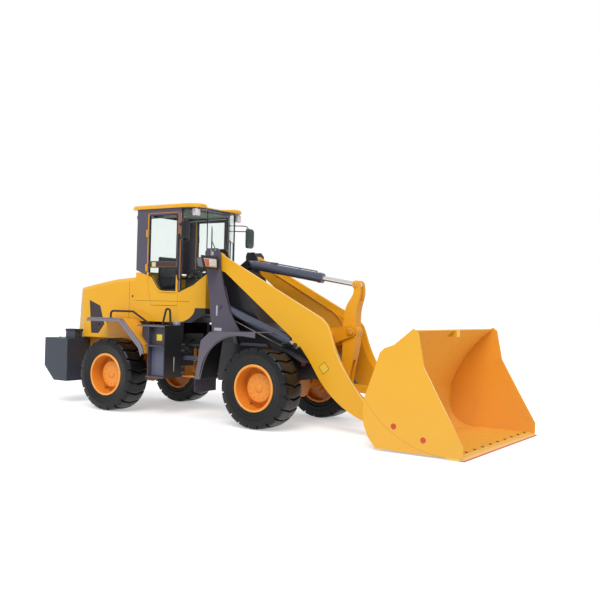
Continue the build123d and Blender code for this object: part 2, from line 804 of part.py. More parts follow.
seat_x = front_axle_x + cab_back + 380
with BuildPart() as seat:
    with BuildSketch(Plane.XY.offset(cab_floor)):
        with Locations((seat_x - 30, 0)):
            Rectangle(360, 360)
    extrude(amount=330)
    with BuildSketch(Plane.XY.offset(cab_floor + 330)):
        with Locations((seat_x, 0)):
            RectangleRounded(500, 480, 60)
    extrude(amount=110)
    with BuildSketch(Plane.XZ.offset(-230)):
        with BuildLine():
            Polyline(
                (seat_x - 180, cab_floor + 430), (seat_x - 270, cab_floor + 950),
                (seat_x - 180, cab_floor + 950), (seat_x - 70, cab_floor + 430),
                close=True,
            )
        make_face()
    extrude(amount=460)
seat.part.label = "seat"
export_step(seat.part, "parts/seat.step")

wheel_centre = (front_axle_x - 1890, 0, 2160)
steering_wheel_plane = Plane(origin=wheel_centre, x_dir=(0, 1, 0), z_dir=(-0.45, 0, 0.9))
with BuildPart() as steering_console:
    with BuildSketch(Plane.XZ.offset(-190)):
        with BuildLine():
            Polyline(
                (front_axle_x - 1700, cab_floor), (front_axle_x - 1520, cab_floor),
                (front_axle_x - 1520, 2060), (front_axle_x - 1700, 2120), (front_axle_x - 1790, 2040),
                close=True,
            )
        make_face()
    extrude(amount=380)
    with BuildSketch(steering_wheel_plane.offset(-190)):
        Circle(35)
    extrude(amount=200)
    with BuildSketch(steering_wheel_plane):
        Circle(200)
        Circle(175, mode=Mode.SUBTRACT)
        Rectangle(370, 30)
        Rectangle(30, 370)
    extrude(amount=26)
steering_console.part.label = "steering_console"
export_step(steering_console.part, "parts/steering_console.step")

lamp_size = 108
with BuildPart() as work_lamps:
    for side in sides:
        with BuildSketch(Plane.XY.offset(cab_top - lamp_size - 20)):
            with Locations((front_axle_x + visor_front - 80, side * 500)):
                Rectangle(60, lamp_size)
        extrude(amount=lamp_size)
        with BuildSketch(Plane.XY.offset(cab_top - 20)):
            with Locations((front_axle_x + visor_front - 80, side * 500)):
                Circle(14)
        extrude(amount=20)
        with BuildSketch(Plane.YZ.offset(front_axle_x + cab_back)):
            with Locations((side * 480, cab_top - 110)):
                Circle(50)
        extrude(amount=-70)
work_lamps.part.label = "work_lamps"
export_step(work_lamps.part, "parts/work_lamps.step")

# name, side, y of the glass's inner and outer edge
mirrors = [("mirror_right", -1, 640, 800), ("mirror_left", 1, 760, 960)]
mirror_low = cab_top - 525
mirror_high = cab_top - 200
mirror_x = -1560            # the glass's plane
mirror_foot = 12
for name, side, inner, outer in mirrors:
    with BuildPart() as mirror:
        with BuildSketch(Plane.YZ.offset(front_axle_x + mirror_x)):
            with Locations((side * (inner + outer) / 2, (mirror_low + mirror_high) / 2)):
                RectangleRounded(outer - inner, mirror_high - mirror_low, 40)
        extrude(amount=45)
        for z in (mirror_low + 60, mirror_high - 60):
            arm_end = (inner + outer) / 2
            with BuildSketch(Plane.XZ.offset(-side * (cab_half + mirror_foot / 2))):
                with Locations((front_axle_x + cab_corner - 16, z)):
                    Rectangle(40, 44)
            extrude(amount=mirror_foot / 2, both=True)
            with BuildLine() as arm_path:
                Line(
                    (front_axle_x + cab_corner - 16, side * (cab_half + mirror_foot), z),
                    (front_axle_x + mirror_x + 10, side * arm_end, z),
                )
            with BuildSketch(Plane(origin=arm_path.line @ 0, z_dir=arm_path.line % 0)):
                Circle(11)
            sweep()
    mirror.part.label = name
    export_step(mirror.part, f"parts/{name}.step")


# ---------------------------------------------------------------- front frame
mast_inner_y = (mast_inner_width - frame_plate) / 2
mast_outer_y = (mast_outer_width - frame_plate) / 2
frame_back = -1130
mast_head = [(-1300, 2460), (-1270, 2520), (-1070, 2520), (-1020, 2460)]
mast_back = [(frame_back, 1340), (-1170, 1540), (-1200, 1850), (-1260, 2160)]
apron_line = [(-960, 2200), (-697, 1900), (-570, 1695), (-365, 1433), (40, 1323), (456, 1000), (640, 760)]
inner_head = [(-1225, 2460), (-1200, 2520), (-1070, 2520), (-1020, 2460)]
inner_back = [(frame_back, 1340), (-1150, 1540), (-1165, 1850), (-1200, 2160)]
inner_outline = inner_head + apron_line + [
    (640, 700), (300, axle_seat_z), (-300, axle_seat_z), (-420, 560), (frame_back, 560),
] + inner_back
outer_outline = mast_head + [
    (-1000, 2210), (-910, 1880), (-800, 1580), (-620, 1310), (frame_back, 1310),
] + mast_back
apron_sheet = 16
front_hinge_levels = [hinge_levels[0] + hinge_plate + side_gap, hinge_levels[1] - side_gap - hinge_plate]
mast_tube = (front_axle_x - 1075, 2185)
mast_tube_radius = 70
tilt_eye_width = 90
tilt_lug = 20
tilt_pin_radius = 30
lift_pin_radius = 28
lift_eye_width = 60
with BuildPart() as front_frame:
    for side in sides:
        with BuildSketch(Plane.XZ.offset(-side * mast_inner_y)):
            with BuildLine():
                Polyline(*[(front_axle_x + dx, z) for dx, z in inner_outline], close=True)
            make_face()
        extrude(amount=frame_plate / 2, both=True)
        with BuildSketch(Plane.XZ.offset(-side * mast_outer_y)):
            with BuildLine():
                Polyline(*[(front_axle_x + dx, z) for dx, z in outer_outline], close=True)
            make_face()
        extrude(amount=frame_plate / 2, both=True)
        with BuildSketch(Plane.XY.offset(1285)):
            foot_y = side * (mast_inner_y + mast_outer_y) / 2
            with Locations((front_axle_x + (frame_back - 620) / 2, foot_y)):
                Rectangle(-620 - frame_back, mast_outer_y - mast_inner_y + frame_plate)
        extrude(amount=25)
        for (pin_x, pin_z), radius in ((boom_pivot, boom_pin_radius), (lift_base, lift_pin_radius)):
            with BuildSketch(Plane.XZ.offset(-side * (mast_inner_y + mast_outer_y) / 2)):
                with Locations((pin_x, pin_z)):
                    Circle(radius - pin_gap)
            extrude(amount=(mast_outer_y - mast_inner_y) / 2 + 30, both=True)
        for level in (-1, 1):
            lug_low = steer_z + level * (steer_eye_height / 2 + lug_gap + lug_plate / 2)
            with BuildSketch(Plane.XY.offset(lug_low - lug_plate / 2)):
                with Locations((steer_eye[0], side * steer_eye[1])):
                    Circle(34)
                with Locations(((steer_eye[0] + front_axle_x + frame_back) / 2, side * steer_eye[1])):
                    Rectangle(front_axle_x + frame_back - steer_eye[0], 68)
            extrude(amount=lug_plate)
    with BuildSketch(Plane.XZ):
        with BuildLine():
            Polyline(
                *[(front_axle_x + dx, z) for dx, z in apron_line],
                *[(front_axle_x + dx - 12, z - apron_sheet) for dx, z in apron_line[::-1]],
                close=True,
            )
        make_face()
        with Locations((front_axle_x + frame_back + frame_plate / 2, 950)):
            Rectangle(frame_plate, 780)
        with Locations(mast_tube):
            Circle(mast_tube_radius)
    extrude(amount=mast_inner_y, both=True)
    for side in sides:
        with BuildSketch(Plane.XZ.offset(-side * (tilt_eye_width / 2 + lug_gap + tilt_lug / 2))):
            with BuildLine():
                Polyline(
                    (mast_tube[0], mast_tube[1] + 60), (tilt_base[0] - 30, tilt_base[1] + 50),
                    (tilt_base[0] + 30, tilt_base[1] + 50), (tilt_base[0] + 50, tilt_base[1]),
                    (tilt_base[0] + 10, tilt_base[1] - 60), (mast_tube[0], mast_tube[1] - 60), close=True,
                )
            make_face()
        extrude(amount=tilt_lug / 2, both=True)
    with BuildSketch(Plane.XZ):
        with Locations(tilt_base):
            Circle(tilt_pin_radius - pin_gap)
    extrude(amount=tilt_eye_width / 2 + lug_gap + tilt_lug + 10, both=True)
    for z in front_hinge_levels:
        with BuildSketch(Plane.XY.offset(z)):
            with BuildLine():
                Polyline(
                    (front_axle_x + frame_back, -mast_inner_y), (pivot_x + 60, -hinge_end_radius),
                    (pivot_x, -hinge_end_radius), (pivot_x, hinge_end_radius),
                    (pivot_x + 60, hinge_end_radius), (front_axle_x + frame_back, mast_inner_y),
                    close=True,
                )
            make_face()
            with Locations((pivot_x, 0)):
                Circle(hinge_end_radius)
                Circle(hinge_hole_radius, mode=Mode.SUBTRACT)
        extrude(amount=hinge_plate)
front_frame.part.label = "front_frame"
export_step(front_frame.part, "parts/front_frame.step")

front_fender_line = [(20, 1325), (-770, 1300), (-930, 1170), (-1020, 620)]
valance_depth = 80
mast_face_y = mast_outer_width / 2
front_fender_outer_y = tyre_outer_y - 1
with BuildPart() as front_fenders:
    for side in sides:
        with BuildSketch(Plane.XZ.offset(-side * (mast_face_y + front_fender_outer_y) / 2)):
            with BuildLine():
                Polyline(
                    *[(front_axle_x + dx, z) for dx, z in front_fender_line],
                    *[(front_axle_x + dx + 10, z - fender_sheet) for dx, z in front_fender_line[::-1]],
                    close=True,
                )
            make_face()
        extrude(amount=(front_fender_outer_y - mast_face_y) / 2, both=True)
        with BuildSketch(Plane.XZ.offset(-side * (front_fender_outer_y - fender_sheet / 2))):
            with BuildLine():
                Polyline(
                    (front_axle_x + 20, 1325 - valance_depth),
                    *[(front_axle_x + dx, z) for dx, z in front_fender_line],
                    (front_axle_x - 1020 + valance_depth, 620),
                )
                ThreePointArc(
                    (front_axle_x - 1020 + valance_depth, 620), (front_axle_x - 745, 1080),
                    (front_axle_x - 280, 1325 - valance_depth + 26),
                )
                Line(
                    (front_axle_x - 280, 1325 - valance_depth + 26),
                    (front_axle_x + 20, 1325 - valance_depth),
                )
            make_face()
        extrude(amount=fender_sheet / 2, both=True)
front_fenders.part.label = "front_fenders"
export_step(front_fenders.part, "parts/front_fenders.step")

with BuildPart() as mud_flaps:
    for side in sides:
        with BuildSketch(Plane.YZ.offset(front_axle_x - 1030)):
            with Locations((side * (mast_face_y + front_fender_outer_y) / 2, 535)):
                Rectangle(front_fender_outer_y - mast_face_y, 210)
        extrude(amount=10)
mud_flaps.part.label = "mud_flaps"
export_step(mud_flaps.part, "parts/mud_flaps.step")

guard_outer_y = tyre_inner_y - 25
guard_line = [(84, 1105), (250, 1060), (400, 990), (520, 925)]
with BuildPart() as front_guards:
    for side in sides:
        with BuildSketch(Plane.XZ.offset(-side * (mast_inner_width / 2 + guard_outer_y) / 2)):
            with BuildLine():
                Polyline(
                    *[(front_axle_x + dx, z) for dx, z in guard_line],
                    *[(front_axle_x + dx - 5, z - fender_sheet) for dx, z in guard_line[::-1]],
                    close=True,
                )
            make_face()
        extrude(amount=(guard_outer_y - mast_inner_width / 2) / 2, both=True)
front_guards.part.label = "front_guards"
export_step(front_guards.part, "parts/front_guards.step")

headlamp_low = 2205
headlamp_high = 2372
headlamp_inner_y = mast_face_y + 20
headlamp_front = -1030
headlamp_depth = 195
# the lens end of a lamp's housing: outward y, z
headlamp_face = [
    (headlamp_inner_y, headlamp_low), (headlamp_inner_y + 28, headlamp_high),
    (headlamp_inner_y + 358, headlamp_high), (headlamp_inner_y + 293, headlamp_low + 7),
]
with BuildPart() as headlamps:
    for side in sides:
        with BuildSketch(Plane.YZ.offset(front_axle_x + headlamp_front)):
            with BuildLine():
                Polyline(*[(side * y, z) for y, z in headlamp_face], close=True)
            make_face()
        with BuildSketch(Plane.YZ.offset(front_axle_x + headlamp_front - headlamp_depth)):
            with BuildLine():
                Polyline(
                    (side * headlamp_inner_y, headlamp_low + 30),
                    (side * headlamp_inner_y, headlamp_high - 30),
                    (side * (headlamp_inner_y + 250), headlamp_high - 10),
                    (side * (headlamp_inner_y + 220), headlamp_low + 40), close=True,
                )
            make_face()
        loft(ruled=True)
        with BuildSketch(Plane.XY.offset(headlamp_low + 20)):
            with Locations((front_axle_x - 1130, side * (mast_face_y + headlamp_inner_y + 5) / 2)):
                Rectangle(110, headlamp_inner_y + 5 - mast_face_y)
        extrude(amount=62)
headlamps.part.label = "headlamps"
export_step(headlamps.part, "parts/headlamps.step")


# ---------------------------------------------------------------- boom
boom_head_radius = 125
boom_tip_radius = 115
boom_tube = (front_axle_x + 600, 1270)
boom_tube_radius = 130
clevis_plate = 30
rocker_half = 75
arm_lug = 14
lift_lug_radius = 42
rocker_pin_radius = 40
arm_plate = 42              # an arm's outer plate; a rib stiffens it on the inside
lift_notch = 56             # room in the arms' lower edges for the lift rods' eyes
arm_inner_y = arm_centre_y - arm_thickness / 2
arm_outer_y = arm_centre_y + arm_thickness / 2


def arm_face(drop):
    """An arm's outline in x and z, its top and front edges drawn in by drop."""
    head = (boom_pivot[0] + 30, boom_pivot[1] + boom_head_radius - 6 - drop)
    elbow = (front_axle_x + 895 - 0.6 * drop, 1335 - 0.4 * drop)
    shin = (front_axle_x + 1420, 480)
    tip = (bucket_pin[0] + 20, bucket_pin[1] + boom_tip_radius - 5)
    heel = (bucket_pin[0] - 10, bucket_pin[1] - boom_tip_radius)
    sole = (front_axle_x + 1414, 215)
    knee = (front_axle_x + 709, 740)
    with BuildSketch() as face:
        with BuildLine():
            Polyline(
                head, (front_axle_x + 755 - 0.3 * drop, 1535 - drop),
                (front_axle_x + 850 - 0.5 * drop, 1440 - 0.7 * drop), elbow,
            )
            ThreePointArc(elbow, (front_axle_x + 1110 - 0.5 * drop, 870 - 0.3 * drop), shin)
            Polyline(shin, tip, heel, sole)
            ThreePointArc(sole, (front_axle_x + 1034, 412), knee)
            Polyline(
                knee, (front_axle_x + 555, 965), (front_axle_x + 400, 1155), (front_axle_x + 330, 1212),
                (front_axle_x + 240, 1274), (front_axle_x - 947, 2165),
                (boom_pivot[0] - 60, boom_pivot[1] - boom_head_radius + 20), head,
            )
        make_face()
    return face.sketch


with BuildPart() as boom:
    for side in sides:
        for inner_y, outer_y, drop in (
            (arm_outer_y - arm_plate, arm_outer_y, 0), (arm_inner_y, arm_outer_y - arm_plate, 85),
        ):
            with BuildSketch(Plane.XZ.offset(-side * (inner_y + outer_y) / 2)):
                add(arm_face(drop))
                with Locations(boom_pivot):
                    Circle(boom_head_radius)
                    Circle(boom_pin_radius, mode=Mode.SUBTRACT)
                with Locations(bucket_pin):
                    Circle(boom_tip_radius)
                    Circle(boom_pin_radius, mode=Mode.SUBTRACT)
                with Locations(lift_eye):
                    Circle(lift_notch, mode=Mode.SUBTRACT)
            extrude(amount=(outer_y - inner_y) / 2, both=True)
        for edge in (-1, 1):
            lug_y = side * (arm_centre_y + edge * (arm_thickness - arm_lug) / 2)
            with BuildSketch(Plane.XZ.offset(-lug_y)):
                with Locations(lift_eye):
                    Circle(lift_lug_radius)
                with BuildLine():
                    Polyline(
                        (lift_eye[0] - lift_lug_radius, lift_eye[1]), (lift_eye[0] - 60, lift_eye[1] + 110),
                        (lift_eye[0] + 30, lift_eye[1] + 150), (lift_eye[0] + 130, lift_eye[1] + 40),
                        (lift_eye[0] + 20, lift_eye[1] - lift_lug_radius + 6), close=True,
                    )
                make_face()
            extrude(amount=arm_lug / 2, both=True)
        with BuildSketch(Plane.XZ.offset(-side * (rocker_half + side_gap + clevis_plate / 2))):
            with BuildLine():
                Polyline(
                    (boom_tube[0], boom_tube[1] + boom_tube_radius - 4),
                    (rocker_pin[0] - 20, rocker_pin[1] + 72), (rocker_pin[0] + 20, rocker_pin[1] - 72),
                    (boom_tube[0], boom_tube[1] - boom_tube_radius + 4), close=True,
                )
            make_face()
            with Locations(rocker_pin):
                Circle(78)
        extrude(amount=clevis_plate / 2, both=True)
    with BuildSketch(Plane.XZ):
        with Locations(boom_tube):
            Circle(boom_tube_radius)
    extrude(amount=arm_centre_y, both=True)
    with BuildSketch(Plane.XZ):
        with Locations(rocker_pin):
            Circle(rocker_pin_radius - pin_gap)
    extrude(amount=rocker_half + side_gap + clevis_plate + 12, both=True)
boom.part.label = "boom"
export_step(boom.part, "parts/boom.step")

rod_eye_width = 60
# the lever's rear and front edges: x ahead of the front axle, z
rocker_rear_edge = [(815, 600), (832, 950), (836, 1300), (845, 1560), (895, 1740), (985, 1890), (968, 2020)]
rocker_front_edge = [
    (1082, 2020), (1090, 1850), (1048, 1680), (1040, 1440), (1042, 1200), (1005, 1000), (944, 590),
]
rocker_boss = 92
with BuildPart() as rocker:
    with BuildSketch(Plane.XZ):
        with BuildLine():
            rear_edge = Spline(*[(front_axle_x + dx, z) for dx, z in rocker_rear_edge])
            front_edge = Spline(*[(front_axle_x + dx, z) for dx, z in rocker_front_edge])
            Line(rear_edge @ 1, front_edge @ 0)
            Line(front_edge @ 1, rear_edge @ 0)
        make_face()
        with Locations(rocker_top):
            Circle(60)
        with Locations(rocker_foot):
            Circle(66)
        with Locations(rocker_pin):
            Circle(rocker_boss)
            Circle(rocker_pin_radius, mode=Mode.SUBTRACT)
    extrude(amount=rocker_half, both=True)
    with BuildSketch(Plane.XZ):
        with Locations((rocker_top[0], rocker_top[1])):
            Rectangle(400, 440)
        with Locations((rocker_foot[0], rocker_foot[1])):
            Rectangle(500, 760)
    extrude(amount=rod_eye_width / 2 + 8, both=True, mode=Mode.SUBTRACT)
rocker.part.label = "rocker"
export_step(rocker.part, "parts/rocker.step")

link_width = 60
link_pin_radius = 30
with BuildPart() as bucket_link:
    with BuildSketch(Plane.XZ):
        with BuildLine():
            Polyline(
                (rocker_foot[0], rocker_foot[1] + 50), (link_pin[0], link_pin[1] + 55),
                (link_pin[0], link_pin[1] - 55), (rocker_foot[0], rocker_foot[1] - 50), close=True,
            )
        make_face()
        with Locations(rocker_foot):
            Circle(58)
        with Locations(link_pin):
            Circle(62)
            Circle(link_pin_radius, mode=Mode.SUBTRACT)
    extrude(amount=link_width / 2, both=True)
bucket_link.part.label = "bucket_link"
export_step(bucket_link.part, "parts/bucket_link.step")


# ---------------------------------------------------------------- bucket
edge_depth = 220
edge_thickness = 24
edge_top = floor_gap + edge_thickness
floor_top = edge_top + bucket_wall
# a side plate: x, z ahead of the front axle
cheek_outline = [
    (2500, 1467), (2568, 1420), (2590, 1300), (2641, 1057), (2649, 1010), (3140, 176), (3140, edge_top),
    (2040, edge_top), (1930, 160), (1862, 350), (1867, 592), (2007, 979), (2070, 1170), (2133, 1225),
    (2252, 1267), (2369, 1360),
]
bucket_half = bucket_width / 2
tab_half = 48               # half the width of the level mark on the bucket's top edge
with BuildPart() as bucket:
    with BuildSketch(Plane.XZ):
        with BuildLine():
            ThreePointArc(
                (front_axle_x + 2500, 1436), (front_axle_x + 2135, 1078), (front_axle_x + 1886, 600),
            )
            Line((front_axle_x + 1886, 600), (front_axle_x + 1878, 420))
            ThreePointArc(
                (front_axle_x + 1878, 420), (front_axle_x + 1965, 165), (front_axle_x + 2240, floor_top),
            )
            Line((front_axle_x + 2240, floor_top), (front_axle_x + 3080, floor_top))
            Line((front_axle_x + 3080, floor_top), (front_axle_x + 3080, floor_top - bucket_wall))
            Line(
                (front_axle_x + 3080, floor_top - bucket_wall),
                (front_axle_x + 2240, floor_top - bucket_wall),
            )
            ThreePointArc(
                (front_axle_x + 2240, floor_top - bucket_wall), (front_axle_x + 1953, 153),
                (front_axle_x + 1862, 420),
            )
            Line((front_axle_x + 1862, 420), (front_axle_x + 1870, 603))
            ThreePointArc(
                (front_axle_x + 1870, 603), (front_axle_x + 2122, 1088), (front_axle_x + 2492, 1450),
            )
            Line((front_axle_x + 2492, 1450), (front_axle_x + 2500, 1436))
        make_face()
    extrude(amount=bucket_half - 1, both=True)
    with BuildSketch(Plane.XZ):
        with BuildLine():
            Polyline(
                (front_axle_x + 2494, 1440), (front_axle_x + 2520, 1436), (front_axle_x + 2520, 1352),
                (front_axle_x + 2400, 1352), close=True,
            )
        make_face()
    extrude(amount=tab_half, both=True)
    for side in sides:
        with BuildSketch(Plane.XZ.offset(-side * (bucket_half - bucket_wall / 2))):
            with BuildLine():
                Polyline(*[(front_axle_x + dx, z) for dx, z in cheek_outline], close=True)
            make_face()
        extrude(amount=bucket_wall / 2, both=True)
        ear_offset = arm_thickness / 2 + side_gap + frame_plate / 2
        for ear_y in (arm_centre_y - ear_offset, arm_centre_y + ear_offset):
            with BuildSketch(Plane.XZ.offset(-side * ear_y)):
                with Locations(bucket_pin):
                    Circle(100)
                with BuildLine():
                    Polyline(
                        (bucket_pin[0], bucket_pin[1] + 98), (front_axle_x + 1866, 560),
                        (front_axle_x + 1866, 380), (front_axle_x + 1935, 175),
                        (bucket_pin[0], bucket_pin[1] - 100), close=True,
                    )
                make_face()
            extrude(amount=frame_plate / 2, both=True)
        with BuildSketch(Plane.XZ.offset(-side * arm_centre_y)):
            with Locations(bucket_pin):
                Circle(boom_pin_radius - pin_gap)
        extrude(amount=arm_thickness / 2 + side_gap + frame_plate + 14, both=True)
        with BuildSketch(Plane.XZ.offset(-side * (link_width / 2 + side_gap + frame_plate / 2))):
            with Locations(link_pin):
                Circle(62)
            with BuildLine():
                Polyline(
                    (link_pin[0] - 10, link_pin[1] + 60), (front_axle_x + 1880, 640),
                    (front_axle_x + 1868, 400), (link_pin[0] - 10, link_pin[1] - 60), close=True,
                )
            make_face()
        extrude(amount=frame_plate / 2, both=True)
    with BuildSketch(Plane.XZ):
        with Locations(link_pin):
            Circle(link_pin_radius - pin_gap)
    extrude(amount=link_width / 2 + side_gap + frame_plate + 10, both=True)
bucket.part.label = "bucket"
export_step(bucket.part, "parts/bucket.step")

edge_x = bucket_pin[0] + bucket_reach
with BuildPart() as cutting_edge:
    with BuildSketch(Plane.XZ):
        with BuildLine():
            Polyline(
                (edge_x, floor_gap), (edge_x, floor_gap + 6), (edge_x - 45, edge_top),
                (edge_x - edge_depth, edge_top), (edge_x - edge_depth, floor_gap),
                close=True,
            )
        make_face()
    extrude(amount=bucket_half, both=True)
cutting_edge.part.label = "cutting_edge"
export_step(cutting_edge.part, "parts/cutting_edge.step")


# ---------------------------------------------------------------- cylinders
def along(start, end, distance):
    """The point that lies a distance from start towards end."""
    length = hypot(*(b - a for a, b in zip(start, end)))
    return tuple(a + (b - a) * distance / length for a, b in zip(start, end))


cylinder_wall = 12
gland_length = 10
# name, base pin and rod's eye as x and z, y of each copy, eye width, pin, barrel and rod radius,
# then from the base pin: where the barrel's full width and its bore start, the rod's end, the barrel's end
arm_cylinders = [
    ("lift", lift_base, lift_eye, [-arm_centre_y, arm_centre_y], lift_eye_width,
     lift_pin_radius, 60, 32, 70, 130, 190, 1290),
    ("tilt", tilt_base, rocker_top, [0], tilt_eye_width,
     tilt_pin_radius, 68, 35, 85, 130, 520, 1340),
]
for cylinder in arm_cylinders:
    name, base, eye, places, eye_width, pin_radius, barrel_radius, rod_radius = cylinder[:8]
    shoulder, bore_start, inner, barrel_length = cylinder[8:]
    length = hypot(eye[0] - base[0], eye[1] - base[1])
    slope = ((eye[0] - base[0]) / length, 0, (eye[1] - base[1]) / length)
    with BuildPart() as barrel:
        for y in places:
            line = Plane(origin=(base[0], y, base[1]), x_dir=(0, 1, 0), z_dir=slope)
            with BuildSketch(line.offset(shoulder)):
                Circle(barrel_radius)
            extrude(amount=barrel_length - shoulder)
            with BuildSketch(line.offset(pin_radius + 10)):
                Circle(eye_width / 2 - 2)
            extrude(amount=shoulder - pin_radius - 10)
            with BuildSketch(Plane.XZ.offset(-y)):
                with Locations(base):
                    Circle(pin_radius + 26)
            extrude(amount=eye_width / 2, both=True)
            with BuildSketch(Plane.XZ.offset(-y)):
                with Locations(base):
                    Circle(pin_radius)
            extrude(amount=eye_width, both=True, mode=Mode.SUBTRACT)
            with BuildSketch(line.offset(bore_start)):
                Circle(barrel_radius - cylinder_wall)
            extrude(amount=barrel_length - bore_start - gland_length, mode=Mode.SUBTRACT)
            with BuildSketch(line.offset(bore_start)):
                Circle(rod_radius + pin_gap)
            extrude(amount=barrel_length, mode=Mode.SUBTRACT)
    barrel.part.label = f"{name}_barrel"
    export_step(barrel.part, f"parts/{name}_barrel.step")

    with BuildPart() as rod:
        for y in places:
            line = Plane(origin=(base[0], y, base[1]), x_dir=(0, 1, 0), z_dir=slope)
            with BuildSketch(line.offset(inner)):
                Circle(rod_radius)
            extrude(amount=length - inner)
            with BuildSketch(Plane.XZ.offset(-y)):
                with Locations(eye):
                    Circle(rod_radius + 16)
            extrude(amount=rod_eye_width / 2 - 2, both=True)
    rod.part.label = f"{name}_rod"
    export_step(rod.part, f"parts/{name}_rod.step")

steer_barrel_radius = 35
steer_rod_radius = 15
steer_barrel_length = 515
steer_inner = 270
steer_shoulder = 46
steer_pin_radius = 16
for name, side in (("right", -1), ("left", 1)):
    base = (steer_base[0], side * steer_base[1])
    eye = (steer_eye[0], side * steer_eye[1])
    length = hypot(eye[0] - base[0], eye[1] - base[1])
    slope = ((eye[0] - base[0]) / length, (eye[1] - base[1]) / length, 0)
    line = Plane(origin=(base[0], base[1], steer_z), x_dir=(0, 0, 1), z_dir=slope)
    with BuildPart() as steer_barrel:
        with BuildSketch(line.offset(steer_shoulder)):
            Circle(steer_barrel_radius)
        extrude(amount=steer_barrel_length - steer_shoulder)
        with BuildSketch(line.offset(steer_pin_radius + 4)):
            Circle(steer_eye_height / 2 - 1)
        extrude(amount=steer_shoulder - steer_pin_radius - 4)
        with BuildSketch(Plane.XY.offset(steer_z)):
            with Locations(base):
                Circle(30)
        extrude(amount=steer_eye_height / 2, both=True)
        with BuildSketch(Plane.XY.offset(steer_z)):
            with Locations(base):
                Circle(steer_pin_radius)
        extrude(amount=steer_barrel_radius, both=True, mode=Mode.SUBTRACT)
        with BuildSketch(line.offset(steer_shoulder)):
            Circle(steer_rod_radius + pin_gap)
        extrude(amount=steer_barrel_length, mode=Mode.SUBTRACT)
    steer_barrel.part.label = f"steer_barrel_{name}"
    export_step(steer_barrel.part, f"parts/steer_barrel_{name}.step")

    with BuildPart() as steer_rod:
        with BuildSketch(line.offset(steer_inner)):
            Circle(steer_rod_radius)
        extrude(amount=length - steer_inner)
        with BuildSketch(Plane.XY.offset(steer_z)):
            with Locations(eye):
                Circle(30)
        extrude(amount=steer_eye_height / 2, both=True)
    steer_rod.part.label = f"steer_rod_{name}"
    export_step(steer_rod.part, f"parts/steer_rod_{name}.step")
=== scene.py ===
from math import cos, pi, radians, sin

import bmesh
import bpy
from mathutils import Matrix, Vector


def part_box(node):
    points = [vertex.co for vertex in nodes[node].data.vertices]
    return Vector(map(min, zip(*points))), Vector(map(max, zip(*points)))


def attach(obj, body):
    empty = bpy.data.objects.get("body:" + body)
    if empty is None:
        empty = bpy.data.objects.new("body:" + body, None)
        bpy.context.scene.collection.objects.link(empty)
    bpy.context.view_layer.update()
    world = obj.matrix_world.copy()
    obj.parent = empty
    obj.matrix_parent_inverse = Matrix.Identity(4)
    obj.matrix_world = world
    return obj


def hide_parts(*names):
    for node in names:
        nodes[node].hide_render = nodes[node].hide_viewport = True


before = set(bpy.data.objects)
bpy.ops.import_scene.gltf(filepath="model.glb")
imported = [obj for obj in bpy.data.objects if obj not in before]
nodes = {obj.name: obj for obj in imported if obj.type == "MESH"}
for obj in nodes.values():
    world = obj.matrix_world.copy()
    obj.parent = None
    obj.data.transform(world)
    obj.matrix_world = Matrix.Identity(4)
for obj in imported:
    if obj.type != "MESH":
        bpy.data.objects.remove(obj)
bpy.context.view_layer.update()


def corners(node):
    """A solid's lowest and highest corners at rest."""
    low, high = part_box(node)
    return Vector(low), Vector(high)


def middle_of(node):
    """The middle of a solid's box at rest."""
    low, high = corners(node)
    return (low + high) / 2


# Lengthwise places are measured from an axle (fx or rx), and pieces in pairs go by side.
axle_front = middle_of("front_right_tyre")
axle_rear = middle_of("rear_right_tyre")
fx = axle_front.x
rx = axle_rear.x
sides = (-1, 1)                     # right, left
hands = ((-1, "right"), (1, "left"))


def tint(code):
    """A hex colour as the linear values that a shader takes."""
    parts = [int(code[i:i + 2], 16) / 255 for i in (1, 3, 5)]
    return [c / 12.92 if c < 0.04045 else ((c + 0.055) / 1.055) ** 2.4 for c in parts] + [1]


def sockets(group, inputs, outputs):
    """Gives a node group its named inputs, as name, kind and value, and its outputs."""
    for name, kind, value in inputs:
        made = group.interface.new_socket(name, in_out="INPUT", socket_type=f"NodeSocket{kind}")
        if value is not None:
            made.default_value = value
    for name, kind in outputs:
        group.interface.new_socket(name, in_out="OUTPUT", socket_type=f"NodeSocket{kind}")
    return group.nodes.new("NodeGroupInput").outputs, group.nodes.new("NodeGroupOutput").inputs


def math_node(tree, operation, first, second, clamp=False):
    """A Math node's result; each side is a socket or a number."""
    node = tree.nodes.new("ShaderNodeMath")
    node.operation = operation
    node.use_clamp = clamp
    for value, socket in zip((first, second), node.inputs):
        if isinstance(value, (int, float)):
            socket.default_value = value
        else:
            tree.links.new(value, socket)
    return node.outputs["Value"]


def noise(tree, vector, scale, detail=2.0):
    """A noise texture's grey value at a place."""
    node = tree.nodes.new("ShaderNodeTexNoise")
    node.inputs["Detail"].default_value = detail
    tree.links.new(vector, node.inputs["Vector"])
    if isinstance(scale, (int, float)):
        node.inputs["Scale"].default_value = scale
    else:
        tree.links.new(scale, node.inputs["Scale"])
    return node.outputs["Fac"]


def ramp(tree, value, start, end, low=0.0, high=1.0):
    """A value mapped from start..end to low..high, clamped."""
    node = tree.nodes.new("ShaderNodeMapRange")
    tree.links.new(value, node.inputs["Value"])
    for name, given in (("From Min", start), ("From Max", end), ("To Min", low), ("To Max", high)):
        if isinstance(given, (int, float)):
            node.inputs[name].default_value = given
        else:
            tree.links.new(given, node.inputs[name])
    return node.outputs["Result"]


def blend_colours(tree, factor, first, second):
    """Two colours mixed by a factor; each is a socket or a colour."""
    node = tree.nodes.new("ShaderNodeMix")
    node.data_type = "RGBA"
    if isinstance(factor, (int, float)):
        node.inputs["Factor"].default_value = factor
    else:
        tree.links.new(factor, node.inputs["Factor"])
    for value, name in ((first, "A"), (second, "B")):
        if isinstance(value, bpy.types.NodeSocket):
            tree.links.new(value, node.inputs[name])
        else:
            node.inputs[name].default_value = value
    return node.outputs["Result"]


